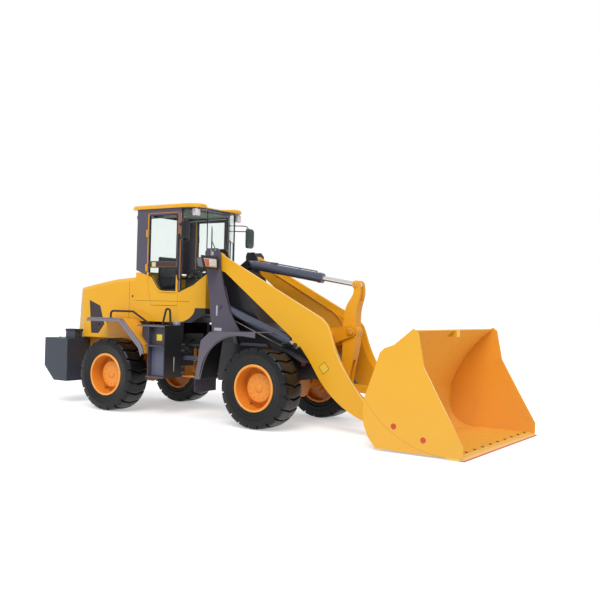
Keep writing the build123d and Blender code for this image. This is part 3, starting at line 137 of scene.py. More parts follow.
def enamel_film_group():
    """Tone, dust, roughness and height of a sprayed film, with dust that thickens towards the ground."""
    group = bpy.data.node_groups.new("enamel_film", "ShaderNodeTree")
    given, out = sockets(
        group,
        (("Vector", "Vector", None), ("Drift scale", "Float", 1.6), ("Peel scale", "Float", 240.0),
         ("Gloss roughness", "Float", 0.3), ("Dull roughness", "Float", 0.5),
         ("Dust top", "Float", 0.9), ("Dust amount", "Float", 0.35)),
        (("Tone", "Float"), ("Dust", "Float"), ("Roughness", "Float"), ("Height", "Float")),
    )
    link = group.links.new
    tone = noise(group, given["Vector"], given["Drift scale"], 5)
    link(tone, out["Tone"])
    link(noise(group, given["Vector"], given["Peel scale"], 1), out["Height"])
    split = group.nodes.new("ShaderNodeSeparateXYZ")
    link(given["Vector"], split.inputs["Vector"])
    level = ramp(group, split.outputs["Z"], 0.0, given["Dust top"], 1.0, 0.0)
    patch = math_node(group, "MULTIPLY", level, noise(group, given["Vector"], 9, 6))
    dust = math_node(group, "MULTIPLY", patch, given["Dust amount"], clamp=True)
    link(dust, out["Dust"])
    rough = ramp(group, tone, 0.3, 0.7, given["Gloss roughness"], given["Dull roughness"])
    link(math_node(group, "ADD", rough, dust, clamp=True), out["Roughness"])
    return group


def edge_wear_group():
    """A mask that is high in thin, broken patches along a solid's outer edges."""
    group = bpy.data.node_groups.new("edge_wear", "ShaderNodeTree")
    given, out = sockets(
        group, (("Vector", "Vector", None), ("Reach", "Float", 0.62), ("Grain scale", "Float", 18.0)),
        (("Wear", "Float"),),
    )
    bend = group.nodes.new("ShaderNodeNewGeometry").outputs["Pointiness"]
    edge = ramp(group, bend, given["Reach"], 0.75)
    grain = ramp(group, noise(group, given["Vector"], given["Grain scale"], 8), 0.45, 0.62)
    group.links.new(math_node(group, "MULTIPLY", edge, grain, clamp=True), out["Wear"])
    return group


enamel_film = enamel_film_group()
edge_wear = edge_wear_group()
dried_dust = tint("#A89A86")
bare_steel = tint("#8C8A88")


def grouped(tree, group, vector, **values):
    """A node group placed in a material, with its own values."""
    node = tree.nodes.new("ShaderNodeGroup")
    node.node_tree = group
    tree.links.new(vector, node.inputs["Vector"])
    for name, value in values.items():
        node.inputs[name.replace("_", " ").capitalize()].default_value = value
    return node.outputs


def new_material(name):
    """An empty Principled material: its tree, its shader's inputs and its Object coordinates."""
    material = bpy.data.materials.new(name)
    material.use_nodes = True
    tree = material.node_tree
    place = tree.nodes.new("ShaderNodeTexCoord").outputs["Object"]
    return material, tree, tree.nodes["Principled BSDF"].inputs, place


def raise_bump(tree, height, shader, strength, distance):
    """Feeds a height to a shader's normal."""
    bump = tree.nodes.new("ShaderNodeBump")
    bump.inputs["Strength"].default_value = strength
    bump.inputs["Distance"].default_value = distance
    tree.links.new(height, bump.inputs["Height"])
    tree.links.new(bump.outputs["Normal"], shader["Normal"])


def enamel(name, light, deep, gloss=0.30, dull=0.42, coat=0.12, dust=0.3, dust_top=0.9, wear=0.12,
           bands=()):
    """A painted steel: two close tones, gloss, edge wear and dust low down. A band repaints where an
    axis (X, Y or Z) of the place, or its size when the axis is |Y|, lies between two levels."""
    material, tree, shader, place = new_material(name)
    shader["Specular IOR Level"].default_value = 0.36
    shader["Coat Weight"].default_value = coat
    shader["Coat Roughness"].default_value = 0.12
    film = grouped(tree, enamel_film, place, gloss_roughness=gloss, dull_roughness=dull,
                   dust_amount=dust, dust_top=dust_top)
    colour = blend_colours(tree, film["Tone"], tint(light), tint(deep))
    if bands:
        split = tree.nodes.new("ShaderNodeSeparateXYZ")
        tree.links.new(place, split.inputs["Vector"])
        for limits, repaint in bands:
            inside = 1.0
            for axis, low, high in limits:
                value = split.outputs[axis[-1]] if axis != "|Y|" else math_node(
                    tree, "ABSOLUTE", split.outputs["Y"], 0.0)
                above = math_node(tree, "GREATER_THAN", value, low)
                below = math_node(tree, "LESS_THAN", value, high)
                between = math_node(tree, "MULTIPLY", above, below)
                inside = between if inside == 1.0 else math_node(tree, "MULTIPLY", inside, between)
            toned = blend_colours(tree, film["Tone"], tint(repaint), [c * 0.86 for c in tint(repaint)])
            colour = blend_colours(tree, inside, colour, toned)
    worn = grouped(tree, edge_wear, place)["Wear"]
    colour = blend_colours(tree, math_node(tree, "MULTIPLY", worn, wear), colour, bare_steel)
    colour = blend_colours(tree, film["Dust"], colour, dried_dust)
    tree.links.new(colour, shader["Base Color"])
    tree.links.new(film["Roughness"], shader["Roughness"])
    raise_bump(tree, film["Height"], shader, 0.3, 0.0006)
    return material


def dress(names, material):
    """Gives a finish to the solids that keep their own shape."""
    for name in names:
        nodes[name].data.materials.clear()
        nodes[name].data.materials.append(material)


def bolt_head_tree():
    """A hex head on a washer at every point given, turned along the point's facing."""
    tree = bpy.data.node_groups.new("bolt_heads", "GeometryNodeTree")
    given, out = sockets(
        tree,
        (("Geometry", "Geometry", None), ("Head radius", "Float", 0.012), ("Head height", "Float", 0.009),
         ("Washer radius", "Float", 0.016), ("Finish", "Material", None)),
        (("Geometry", "Geometry"),),
    )
    node, link = tree.nodes.new, tree.links.new
    parts = node("GeometryNodeJoinGeometry")
    for radius, height, count, lift in (
        ("Washer radius", 0.003, 16, 0.0015), ("Head radius", "Head height", 6, None),
    ):
        drum = node("GeometryNodeMeshCylinder")
        drum.inputs["Vertices"].default_value = count
        link(given[radius], drum.inputs["Radius"])
        stand = node("GeometryNodeTransform")
        lifted = node("ShaderNodeCombineXYZ")
        if lift is None:
            link(given[height], drum.inputs["Depth"])
            link(math_node(tree, "MULTIPLY", given[height], 0.5), lifted.inputs["Z"])
        else:
            drum.inputs["Depth"].default_value = height
            lifted.inputs["Z"].default_value = lift
        link(drum.outputs["Mesh"], stand.inputs["Geometry"])
        link(lifted.outputs["Vector"], stand.inputs["Translation"])
        link(stand.outputs["Geometry"], parts.inputs["Geometry"])
    facing = node("GeometryNodeInputNamedAttribute")
    facing.data_type = "FLOAT_VECTOR"
    facing.inputs["Name"].default_value = "facing"
    turn = node("FunctionNodeAlignRotationToVector")
    turn.axis = "Z"
    link(facing.outputs["Attribute"], turn.inputs["Vector"])
    spots = node("GeometryNodeMeshToPoints")
    link(given["Geometry"], spots.inputs["Mesh"])
    on = node("GeometryNodeInstanceOnPoints")
    link(spots.outputs["Points"], on.inputs["Points"])
    link(parts.outputs["Geometry"], on.inputs["Instance"])
    link(turn.outputs["Rotation"], on.inputs["Rotation"])
    real = node("GeometryNodeRealizeInstances")
    link(on.outputs["Instances"], real.inputs["Geometry"])
    finish = node("GeometryNodeSetMaterial")
    link(real.outputs["Geometry"], finish.inputs["Geometry"])
    link(given["Finish"], finish.inputs["Material"])
    link(finish.outputs["Geometry"], out["Geometry"])
    return tree


bolt_heads = bolt_head_tree()


def grown(name, source, tree, values, body):
    """Runs a Geometry Nodes tree on a mesh and keeps the result as a plain piece on a body."""
    holder = bpy.data.objects.new(name + "_source", source)
    bpy.context.scene.collection.objects.link(holder)
    modifier = holder.modifiers.new("grow", "NODES")
    modifier.node_group = tree
    for item in tree.interface.items_tree:
        if item.in_out == "INPUT" and item.name in values:
            modifier[item.identifier] = values[item.name]
    seen = holder.evaluated_get(bpy.context.evaluated_depsgraph_get())
    mesh = bpy.data.meshes.new_from_object(seen)
    mesh.name = name
    bpy.data.objects.remove(holder)
    piece = bpy.data.objects.new(name, mesh)
    bpy.context.scene.collection.objects.link(piece)
    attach(piece, body)
    return piece


def bolts(name, places, size, finish, body):
    """Hex bolts at places, each a point and the way it faces; size is the head's half width."""
    source = bpy.data.meshes.new(name)
    source.from_pydata([p for p, _ in places], [], [])
    facing = source.attributes.new("facing", "FLOAT_VECTOR", "POINT")
    facing.data.foreach_set("vector", [c for _, way in places for c in way])
    return grown(name, source, bolt_heads, {
        "Head radius": size, "Head height": size * 0.75, "Washer radius": size * 1.35, "Finish": finish,
    }, body)


# The hinge end of the rear frame, above the rails' lower flange, is painted near black as painted shade under
# the cab.
far_off = 9
hinge_end_shade = "#26242A"
orange_paint = enamel("orange_enamel", "#E8942A", "#DA8520", dust=0.35, bands=[
    ([("X", -1.50, -0.60), ("Z", 0.72, far_off)], hinge_end_shade),
])
black_paint = enamel("chassis_black", "#2C2B30", "#232327", gloss=0.4, dull=0.6)


def plated(name, light, deep, gloss, drift, metallic):
    """A plated metal whose tone and roughness drift together."""
    material, tree, shader, place = new_material(name)
    film = grouped(tree, enamel_film, place, gloss_roughness=gloss, dull_roughness=0.5, drift_scale=drift)
    tree.links.new(blend_colours(tree, film["Tone"], tint(light), tint(deep)), shader["Base Color"])
    tree.links.new(film["Roughness"], shader["Roughness"])
    shader["Metallic"].default_value = metallic
    return material


zinc = plated("zinc_plate", "#A9A7A2", "#8B8984", 0.3, 9.0, 0.9)
dress(("rear_frame",), orange_paint)
rail_side = 0.355
bolts("rear_rail_bolts", [
    ((rx + dx, side * rail_side, z), (0, side, 0))
    for side in sides for dx in (-0.34, -0.26, 0.26, 0.34) for z in (0.72, 0.80)
], 0.014, zinc, "rear")


# ------------------------------------------------------------------ counterweight and battery boxes
# The counterweight is one slab casting bolted across the tail of the rails, painted slate, with its
# wings painted near black as painted shade behind the rear tyres. Two folded steel battery boxes
# stand on the wings under overlapping lids.
def settle(name, shape, material, body, smooth=40):
    """Closes a bmesh as a piece of the machine that rides on a body."""
    bmesh.ops.remove_doubles(shape, verts=shape.verts, dist=1e-6)
    bmesh.ops.recalc_face_normals(shape, faces=shape.faces)
    mesh = bpy.data.meshes.new(name)
    shape.to_mesh(mesh)
    shape.free()
    mesh.materials.append(material)
    mesh.polygons.foreach_set("use_smooth", [True] * len(mesh.polygons))
    mesh.set_sharp_from_angle(angle=radians(smooth))
    piece = bpy.data.objects.new(name, mesh)
    bpy.context.scene.collection.objects.link(piece)
    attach(piece, body)
    return piece


def add_block(shape, corner, opposite, edge=0.004):
    """A box between two opposite corners, its edges eased."""
    made = bmesh.ops.create_cube(shape, size=1)["verts"]
    spans = [sorted(pair) for pair in zip(corner, opposite)]
    for vert in made:
        vert.co = Vector([a + (c + 0.5) * (b - a) for (a, b), c in zip(spans, vert.co)])
    edges = list({e for vert in made for e in vert.link_edges})
    bmesh.ops.bevel(shape, geom=edges, offset=edge, segments=2, affect="EDGES", profile=0.5)


weight_low, weight_high = corners("counterweight")
wing_shade_from = weight_low.x + 0.68
# Forward of wing_shade_from the slate is painted near black: painted shade behind the rear tyres.
weight_paint = enamel("counterweight_enamel", "#3B434E", "#363D48", gloss=0.36, dull=0.42, coat=0.05,
                      dust=0.0, wear=0.0, bands=[([("X", wing_shade_from, 0)], "#242328")])
dress(("counterweight", "battery_boxes"), weight_paint)
shape = bmesh.new()
box_low, box_high = corners("battery_boxes")
box_middle, lid_half, lid_lap = 0.61, 0.088, 0.008
latch_y, latch_half = 0.60, 0.014
for side in sides:
    add_block(shape, (box_low.x - lid_lap, side * (box_middle - lid_half), box_high.z - 0.03),
              (box_high.x + lid_lap, side * (box_middle + lid_half), box_high.z + 0.006))
    add_block(shape, (box_high.x, side * latch_y - latch_half, box_high.z - 0.075),
              (box_high.x + 0.012, side * latch_y + latch_half, box_high.z - 0.012), 0.002)
settle("battery_box_lids", shape, black_paint, "rear")
bolts("counterweight_bolts", [
    ((weight_low.x + 0.16, y, weight_high.z), (0, 0, 1)) for y in (-0.62, -0.42, 0.42, 0.62)
], 0.018, zinc, "rear")



def lens_material(name, light, deep, rough, coat, scale, relief, ribs=None):
    """A moulded lens with small cells, or with ribs across an axis, in its tone and its surface."""
    material, tree, shader, place = new_material(name)
    mould = tree.nodes.new("ShaderNodeTexWave" if ribs else "ShaderNodeTexVoronoi")
    mould.inputs["Scale"].default_value = scale
    if ribs:
        mould.bands_direction = ribs
    tree.links.new(place, mould.inputs["Vector"])
    height = mould.outputs["Fac" if ribs else "Distance"]
    tree.links.new(blend_colours(tree, height, tint(light), tint(deep)), shader["Base Color"])
    if isinstance(rough, tuple):
        tree.links.new(ramp(tree, height, 0, 1, *rough), shader["Roughness"])
    else:
        shader["Roughness"].default_value = rough
    shader["Coat Weight"].default_value = coat
    raise_bump(tree, height, shader, *relief)
    return material


lamp_red = lens_material("tail_lamp_red", "#C22A1E", "#7E130E", 0.12, 0.8, 130, (0.4, 0.001))
lamp_y, lamp_z = 0.65, 0.965
for name, proud, sunk, half_width, half_height, finish in (
    ("tail_lamp_beds", 0.0005, 0.02, 0.090, 0.040, black_paint),
    ("tail_lamps", 0.0009, 0.01, 0.078, 0.029, lamp_red),
):
    shape = bmesh.new()
    for side in sides:
        add_block(shape, (weight_low.x - proud, side * (lamp_y - half_width), lamp_z - half_height),
                  (weight_low.x + sunk, side * (lamp_y + half_width), lamp_z + half_height), 0.0004)
    settle(name, shape, finish, "rear")


# ------------------------------------------------------------------ axles
# Each axle is an iron casting with a round differential housing at its middle and a bolted cover,
# painted orange. A brake pipe runs along each tube in clips.
def turned(count, shift=0.0):
    """Angles spaced evenly round a full turn, shifted by a share of one step."""
    return [2 * pi * (k + shift) / count for k in range(count)]


def circle(centre, first, second, radius, count):
    """Points round a circle in the plane of two directions."""
    return [centre + (first * cos(a) + second * sin(a)) * radius for a in turned(count)]


def add_skin(shape, rings, endless=False):
    """Joins rings of points into a skin, closed at both ends, or endless like a hoop."""
    rings = [[shape.verts.new(point) for point in ring] for ring in rings]
    for near, far in zip(rings, rings[1:] + rings[:endless]):
        for quad in zip(near, near[1:] + near[:1], far[1:] + far[:1], far):
            shape.faces.new(quad)
    if not endless:
        shape.faces.new(rings[0][::-1])
        shape.faces.new(rings[-1])


def add_turned(shape, base, along, profile, count=24):
    """A lathe-turned part: its profile gives distance along the axis and radius."""
    along = Vector(along).normalized()
    across = along.orthogonal().normalized()
    add_skin(shape, [
        circle(Vector(base) + along * distance, across, along.cross(across), radius, count)
        for distance, radius in profile
    ])


def add_cap(shape, base, along, radius, height, ease=(0.004, 0.006), count=28):
    """A turned cap whose rim is eased by a rise and an inset."""
    add_turned(shape, base, along,
               [(0, radius), (height, radius), (height + ease[0], radius - ease[1])], count)


def bent(points, bend, steps=5):
    """A path whose corners are bent."""
    points = [Vector(p) for p in points]
    path = [points[0]]
    for before, corner, after in zip(points, points[1:], points[2:]):
        reach = min(bend, (before - corner).length / 2.1, (after - corner).length / 2.1)
        start = corner + (before - corner).normalized() * reach
        end = corner + (after - corner).normalized() * reach
        for i in range(steps + 1):
            t = i / steps
            path.append(start * (1 - t) ** 2 + corner * 2 * t * (1 - t) + end * t ** 2)
    return path + [points[-1]]


def add_tube(shape, points, radius, bend=0.05, count=10):
    """A round bar or pipe along a bent path, closed at both ends."""
    path = bent(points, bend)
    across = (path[1] - path[0]).orthogonal().normalized()
    rings = []
    for before, here, after in zip(path[:1] + path, path, path[1:] + path[-1:]):
        ahead = (after - before).normalized()
        across = (across - ahead * across.dot(ahead)).normalized()
        rings.append(circle(here, across, ahead.cross(across), radius, count))
    add_skin(shape, rings)


dress(("front_axle", "rear_axle"), orange_paint)
cover_ring = 0.163                  # radius of the cover's bolt circle
for name, facing, body in (("front_axle", 1, "front"), ("rear_axle", -1, "rear")):
    centre = axle_front if body == "front" else axle_rear
    cover_x = corners(name)[1].x if facing > 0 else corners(name)[0].x
    hub = Vector((cover_x, 0, centre.z))
    bolts(f"{name}_cover_bolts", [
        (hub + Vector((-facing * 0.022, cover_ring * cos(a), cover_ring * sin(a))), (facing, 0, 0))
        for a in turned(14)
    ], 0.008, zinc, body)
    shape = bmesh.new()
    pipe_x, clip_half = centre.x + facing * 0.05, 0.014
    for side in sides:
        add_tube(shape, [(pipe_x, side * y, centre.z + rise)
                         for y, rise in ((0.20, 0.11), (0.30, 0.105), (0.60, 0.098))],
                 0.005, 0.03, 8)
        for y in (0.34, 0.48):
            add_block(shape, (pipe_x - clip_half, side * y, centre.z + 0.06),
                      (pipe_x + clip_half, side * (y + 0.03), centre.z + 0.108), 0.002)
    settle(f"{name}_brake_pipes", shape, black_paint, body)


# ------------------------------------------------------------------ tyres
# Each tyre is a wide tubeless traction tyre moulded in black rubber: chevron blocks on a crowned
# tread, round shoulders, bulged walls with mould rings, and beads seated on the rim.
lug_count = 20
first_groove = -81                  # degrees round the wheel, at the middle of a chevron's height
groove_half = 0.015
apex_lead = 0.036                   # how far a groove's middle trails its own line
lead_slope = 0.108 / 0.406
tread_radius = 0.562
lowest_groove = 0.45                # radius below which a groove's angle no longer widens
groove_brim = 1.22                  # a groove's rim, in half grooves from its middle
groove_shade_from = 0.46                  # radius from which a groove's floor is painted darker as painted shade
# from the middle plane outwards: y, radius of the blocks, radius of the grooves' floor
tyre_profile = [
    (0, 0.562, 0.529), (0.045, 0.562, 0.528), (0.09, 0.5613, 0.528), (0.13, 0.5598, 0.527),
    (0.16, 0.5565, 0.524), (0.176, 0.5515, 0.519), (0.186, 0.543, 0.512), (0.192, 0.530, 0.503),
    (0.196, 0.512, 0.493), (0.199, 0.494, 0.482), (0.2015, 0.474, 0.468), (0.2028, 0.456, 0.4555),
    (0.2029, 0.447, 0.447), (0.2012, 0.4445, 0.4445), (0.2006, 0.430, 0.430), (0.198, 0.412, 0.412),
    (0.1948, 0.396, 0.396), (0.1955, 0.392, 0.392), (0.1925, 0.386, 0.386), (0.1885, 0.370, 0.370),
    (0.1850, 0.3565, 0.3565), (0.1862, 0.350, 0.350), (0.1845, 0.342, 0.342), (0.179, 0.3335, 0.3335),
    (0.170, 0.3275, 0.3275), (0.164, 0.318, 0.318), (0.163, 0.3065, 0.3065),
]
# round one pitch, in half grooves from a groove's middle or as a share of the block: place, depth share
pitch_marks = [(-0.62, 1.0), (0.62, 1.0), (1.0, 0.06), (groove_brim, 0.0)]
block_shares = (0.2, 0.5, 0.8)

rubber, tree, shader, place = new_material("tyre_rubber")
depth = tree.nodes.new("ShaderNodeAttribute")
depth.attribute_name = "groove"
grey = noise(tree, place, 7, 6)
fine = noise(tree, place, 160, 2)
colour = blend_colours(tree, grey, tint("#121214"), tint("#1A1A1C"))
# Groove floors are painted darker as painted shade, more where they lie deeper.
colour = blend_colours(tree, math_node(tree, "MULTIPLY", depth.outputs["Fac"], 0.75), colour, tint("#0A0A0B"))
specks = ramp(tree, noise(tree, place, 46, 8), 0.64, 0.82, 0.0, 0.14)
colour = blend_colours(tree, specks, colour, tint("#5A564F"))
tree.links.new(colour, shader["Base Color"])
tree.links.new(ramp(tree, grey, 0.3, 0.7, 0.24, 0.40), shader["Roughness"])
shader["Specular IOR Level"].default_value = 0.3
raise_bump(tree, fine, shader, 0.25, 0.0008)

section = [(-y, top, floor) for y, top, floor in tyre_profile[:0:-1]] + tyre_profile


def tyre_rings():
    """The tyre's points about its own centre, ring by ring across it, with how deep each one is."""
    rings = []
    pitch = 2 * pi / lug_count
    for y, top, floor in section:
        lead = (-apex_lead + lead_slope * abs(y)) / tread_radius
        half = groove_half / max(top, lowest_groove)
        block = pitch - 2 * groove_brim * half
        ring = []
        for i in range(lug_count):
            middle = radians(first_groove) + pitch * i + lead
            ring += [(middle + share * half, deep) for share, deep in pitch_marks]
            ring += [(middle + groove_brim * half + block * share, 0.0) for share in block_shares]
            ring += [(middle + pitch - groove_brim * half, 0.0), (middle + pitch - half, 0.06)]
        radii = [top + (floor - top) * deep for a, deep in ring]
        rings.append([
            (radius * cos(a), y, radius * sin(a), deep * (top > groove_shade_from))
            for (a, deep), radius in zip(ring, radii)
        ])
    return rings


tyre_points = tyre_rings()
around = len(tyre_points[0])
wheel_names = ("front_right", "front_left", "rear_right", "rear_left")
for wheel in wheel_names:
    centre = middle_of(f"{wheel}_tyre")
    mesh = bpy.data.meshes.new(f"{wheel}_tyre_tread")
    rows = len(tyre_points)
    faces = [
        (r * around + k, r * around + (k + 1) % around,
         ((r + 1) % rows) * around + (k + 1) % around, ((r + 1) % rows) * around + k)
        for r in range(rows) for k in range(around)
    ]
    mesh.from_pydata([centre + Vector(p[:3]) for ring in tyre_points for p in ring], [], faces)
    groove = mesh.attributes.new("groove", "FLOAT", "POINT")
    groove.data.foreach_set("value", [p[3] for ring in tyre_points for p in ring])
    shape = bmesh.new()
    shape.from_mesh(mesh)
    bmesh.ops.recalc_face_normals(shape, faces=shape.faces)
    shape.to_mesh(mesh)
    shape.free()
    mesh.materials.append(rubber)
    mesh.polygons.foreach_set("use_smooth", [True] * len(mesh.polygons))
    mesh.set_sharp_from_angle(angle=radians(34))
    tyre = bpy.data.objects.new(f"{wheel}_tyre_tread", mesh)
    bpy.context.scene.collection.objects.link(tyre)
    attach(tyre, f"{wheel}_wheel")
    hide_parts(f"{wheel}_tyre")


# ------------------------------------------------------------------ rims
# The rims are rolled and welded steel with a deep dish, sprayed orange, and held to a planetary hub
# by a ring of studs. A lock ring holds the outer bead, and the valve stands in the well.
rim_paint = enamel("rim_enamel", "#F09A38", "#E28C2C", gloss=0.3, dull=0.42, dust=0.0)
lock_paint = enamel("lock_ring_enamel", "#F6AE55", "#EDA048", gloss=0.25, dull=0.35, dust=0.0)
hub_ring, nut_ring, valve_ring = 0.148, 0.248, 0.279
nut_depth = 0.062                   # how far the disc's nuts lie behind the rim's middle
valve_turn = 4.1                    # the valve's place round the wheel, in radians
# a lock ring's section, as depth behind the rim's face and radius
lock_ring_section = ((0.018, 0.3262), (0.002, 0.3262), (-0.0035, 0.321), (-0.004, 0.311), (0.002, 0.3035),
                     (0.018, 0.3035))
for wheel in wheel_names:
    dress((f"{wheel}_rim",), rim_paint)
    low, high = corners(f"{wheel}_rim")
    centre = (low + high) / 2
    side = -1 if "right" in wheel else 1
    outer_y = low.y if side < 0 else high.y
    body = f"{wheel}_wheel"
    shape = bmesh.new()
    add_skin(shape, [
        circle(Vector((centre.x, outer_y - side * inward, centre.z)), Vector((1, 0, 0)), Vector((0, 0, 1)),
               radius, 96) for inward, radius in lock_ring_section
    ], endless=True)
    settle(f"{wheel}_lock_ring", shape, lock_paint, body)
    hub = Vector((centre.x, centre.y + side * 0.05, centre.z))
    shape = bmesh.new()
    add_turned(shape, hub, (0, side, 0), [(-0.002, 0.062), (0.008, 0.062), (0.013, 0.056)], 28)
    add_turned(shape, hub, (0, side, 0),
               [(-0.002, 0.186), (0.0025, 0.186), (0.0025, 0.180), (-0.0019, 0.180)], 64)
    settle(f"{wheel}_hub_cap", shape, rim_paint, body)
    bolts(f"{wheel}_hub_bolts", [
        (hub + Vector((hub_ring * cos(a), 0, hub_ring * sin(a))), (0, side, 0)) for a in turned(12)
    ], 0.0105, rim_paint, body)
    bolts(f"{wheel}_wheel_nuts", [
        (centre + Vector((nut_ring * cos(a), -side * nut_depth, nut_ring * sin(a))), (0, side, 0))
        for a in turned(16, 0.5)
    ], 0.013, rim_paint, body)
    shape = bmesh.new()
    spot = centre + Vector((valve_ring * cos(valve_turn), -side * 0.03, valve_ring * sin(valve_turn)))
    add_tube(shape, [spot, spot + Vector((0, side * 0.05, 0)), spot + Vector((0.03, side * 0.09, 0.03))],
             0.005, 0.02, 8)
    settle(f"{wheel}_valve", shape, black_paint, body)


# ------------------------------------------------------------------ engine bay
# The engine and gearbox are iron castings painted black, with ribs, a rocker cover, filters and
# pipework bolted on. Steel pipes run forward along the rails to the centre hinge in clamps.
engine_low, engine_high = corners("engine_block")
gear_low, gear_high = corners("transmission")
cast_iron = enamel("casting_black", "#2A2A2C", "#1D1D1F", gloss=0.45, dull=0.65, dust=0.5, dust_top=1.6)
dress(("engine_block", "transmission"), cast_iron)
shape = bmesh.new()
engine_side, rib_count, rib_inset, rib_half = 0.28, 7, 0.08, 0.012
rib_step = (engine_high.x - engine_low.x - 2 * rib_inset) / (rib_count - 1)
for side in sides:
    for k in range(rib_count):
        x = engine_low.x + rib_inset + k * rib_step
        add_block(shape, (x - rib_half, side * engine_side, engine_low.z + 0.05),
                  (x + rib_half, side * (engine_side + 0.012), engine_low.z + 0.45), 0.003)
    add_block(shape, (engine_low.x + 0.12, side * (engine_side - 0.001), 1.30),
              (engine_high.x - 0.12, side * (engine_side + 0.065), 1.40), 0.014)
    for x in (engine_high.x - 0.16, engine_high.x - 0.29):
        add_turned(shape, (x, side * (engine_side + 0.06), 1.10), (0, 0, 1),
                   [(0, 0.03), (0.01, 0.045), (0.17, 0.045), (0.185, 0.03)], 20)
for k in range(5):
    z = gear_low.z + 0.08 + k * 0.09
    add_block(shape, (gear_high.x - 0.001, -0.2, z), (gear_high.x + 0.012, 0.2, z + 0.016), 0.003)
add_turned(shape, (gear_high.x - 0.001, 0, gear_low.z + 0.3), (1, 0, 0),
           [(0, 0.13), (0.03, 0.13), (0.04, 0.11), (0.05, 0.05)], 32)
settle("engine_castings", shape, cast_iron, "rear")

pipe_steel = enamel("pipe_black", "#313036", "#26252A", gloss=0.25, dull=0.4, dust=0.4)
brass = plated("fitting_steel", "#B79A5A", "#8E8468", 0.28, 14.0, 0.85)
shape = bmesh.new()
fittings = bmesh.new()
for side in sides:
    for lane in range(3):
        y = side * (0.385 + 0.034 * lane)
        z = 0.955 + 0.03 * lane
        if side < 0 or lane < 2:
            add_tube(shape, [(rx + 0.62, y, z - 0.10), (rx + 0.74, y, z), (rx + 1.12, y, z),
                             (rx + 1.16, y - side * 0.05, z)], 0.012, 0.05, 10)
            add_turned(fittings, (rx + 0.80, y, z), (1, 0, 0), [(0, 0.015), (0.03, 0.015)], 6)
    for x in (rx + 0.90, rx + 1.06):
        add_block(shape, (x - 0.012, side * 0.3545, 0.935), (x + 0.012, side * 0.475, 1.035), 0.003)
settle("hinge_pipes", shape, pipe_steel, "rear")
orange_guard = enamel("spring_guard_orange", "#E8942A", "#D17F1E", gloss=0.3, dull=0.4, dust=0.1)

# Two rigid risers stand between the hinge plates on each side, each in an orange spring guard.
shape = bmesh.new()
guards = bmesh.new()
riser_foot, riser_length = 0.5765, 0.457
riser_profile = [(0, 0.022), (0.030, 0.022), (0.032, 0.013), (0.425, 0.013), (0.427, 0.022),
                 (riser_length, 0.022)]
coil_turns, coil_steps, coil_radius, coil_length = 15, 7, 0.021, 0.375
for side in sides:
    for x, y in ((fx - 1.690, 0.262), (fx - 1.645, 0.212)):
        add_turned(shape, (x, side * y, riser_foot), (0, 0, 1), riser_profile, 12)
        coil = []
        for k in range(coil_steps * coil_turns + 1):
            a = 2 * pi * k / coil_steps
            coil.append((x + coil_radius * cos(a), side * y + coil_radius * sin(a),
                         riser_foot + 0.040 + coil_length * k / (coil_steps * coil_turns)))
        add_tube(guards, coil, 0.0055, 0.003, 5)
settle("hinge_risers", shape, pipe_steel, "rear")
settle("riser_spring_guards", guards, orange_guard, "rear")
settle("pipe_fittings", fittings, brass, "rear")

# A cap on the upper hinge pin, held by six bolts.
pivot_x = fx - 1.43
hinge_top = corners("rear_frame")[1].z - 0.02
shape = bmesh.new()
add_turned(shape, (pivot_x, 0, hinge_top - 0.001), (0, 0, 1),
           [(0, 0.072), (0.012, 0.072), (0.018, 0.066), (0.018, 0.03), (0.026, 0.026)], 32)
settle("hinge_pin_cap", shape, cast_iron, "rear")
bolts("hinge_cap_bolts", [
    ((pivot_x + 0.05 * cos(a), 0.05 * sin(a), hinge_top + 0.016), (0, 0, 1)) for a in turned(6)
], 0.008, zinc, "rear")


# ------------------------------------------------------------------ hood
# The hood is one shell of 2 mm pressed sheet on a frame, sprayed yellow. Its front panel and the
# side doors meet in narrow dark joints, and each door has a black compression latch.
hood_low, hood_high = corners("hood")
joint = "#3A2E20"
front_joint = hood_high.x - 0.155
amber = ("#ECB01E", "#E7A81A")
hood_paint = enamel("hood_enamel", *amber, dust=0.2, dust_top=1.4, bands=[
    ([("X", front_joint - 0.003, front_joint + 0.003), ("|Y|", 0.45, 1), ("Z", 1.3, 2.02)], joint),
    ([("X", hood_low.x + 0.19, hood_low.x + 0.195), ("|Y|", 0.4, 1), ("Z", 1.3, 1.82)], joint),
])
dress(("hood",), hood_paint)
shape = bmesh.new()
for side in sides:
    for x, x2, z, z2 in ((front_joint + 0.06, front_joint + 0.085, 1.772, 1.802),
                         (hood_low.x + 0.62, hood_low.x + 0.66, 1.30, 1.335)):
        add_block(shape, (x, side * 0.5195, z), (x2, side * 0.528, z2), 0.003)
settle("hood_latches", shape, black_paint, "rear")

# The side vents are dark perforated sheet, and the tail opening holds a louvre before the radiator.
mesh_paint = enamel("vent_sheet", "#3C3036", "#33292E", gloss=0.4, dull=0.55)
dress(("hood_vents",), mesh_paint)
dress(("radiator_grille",), cast_iron)


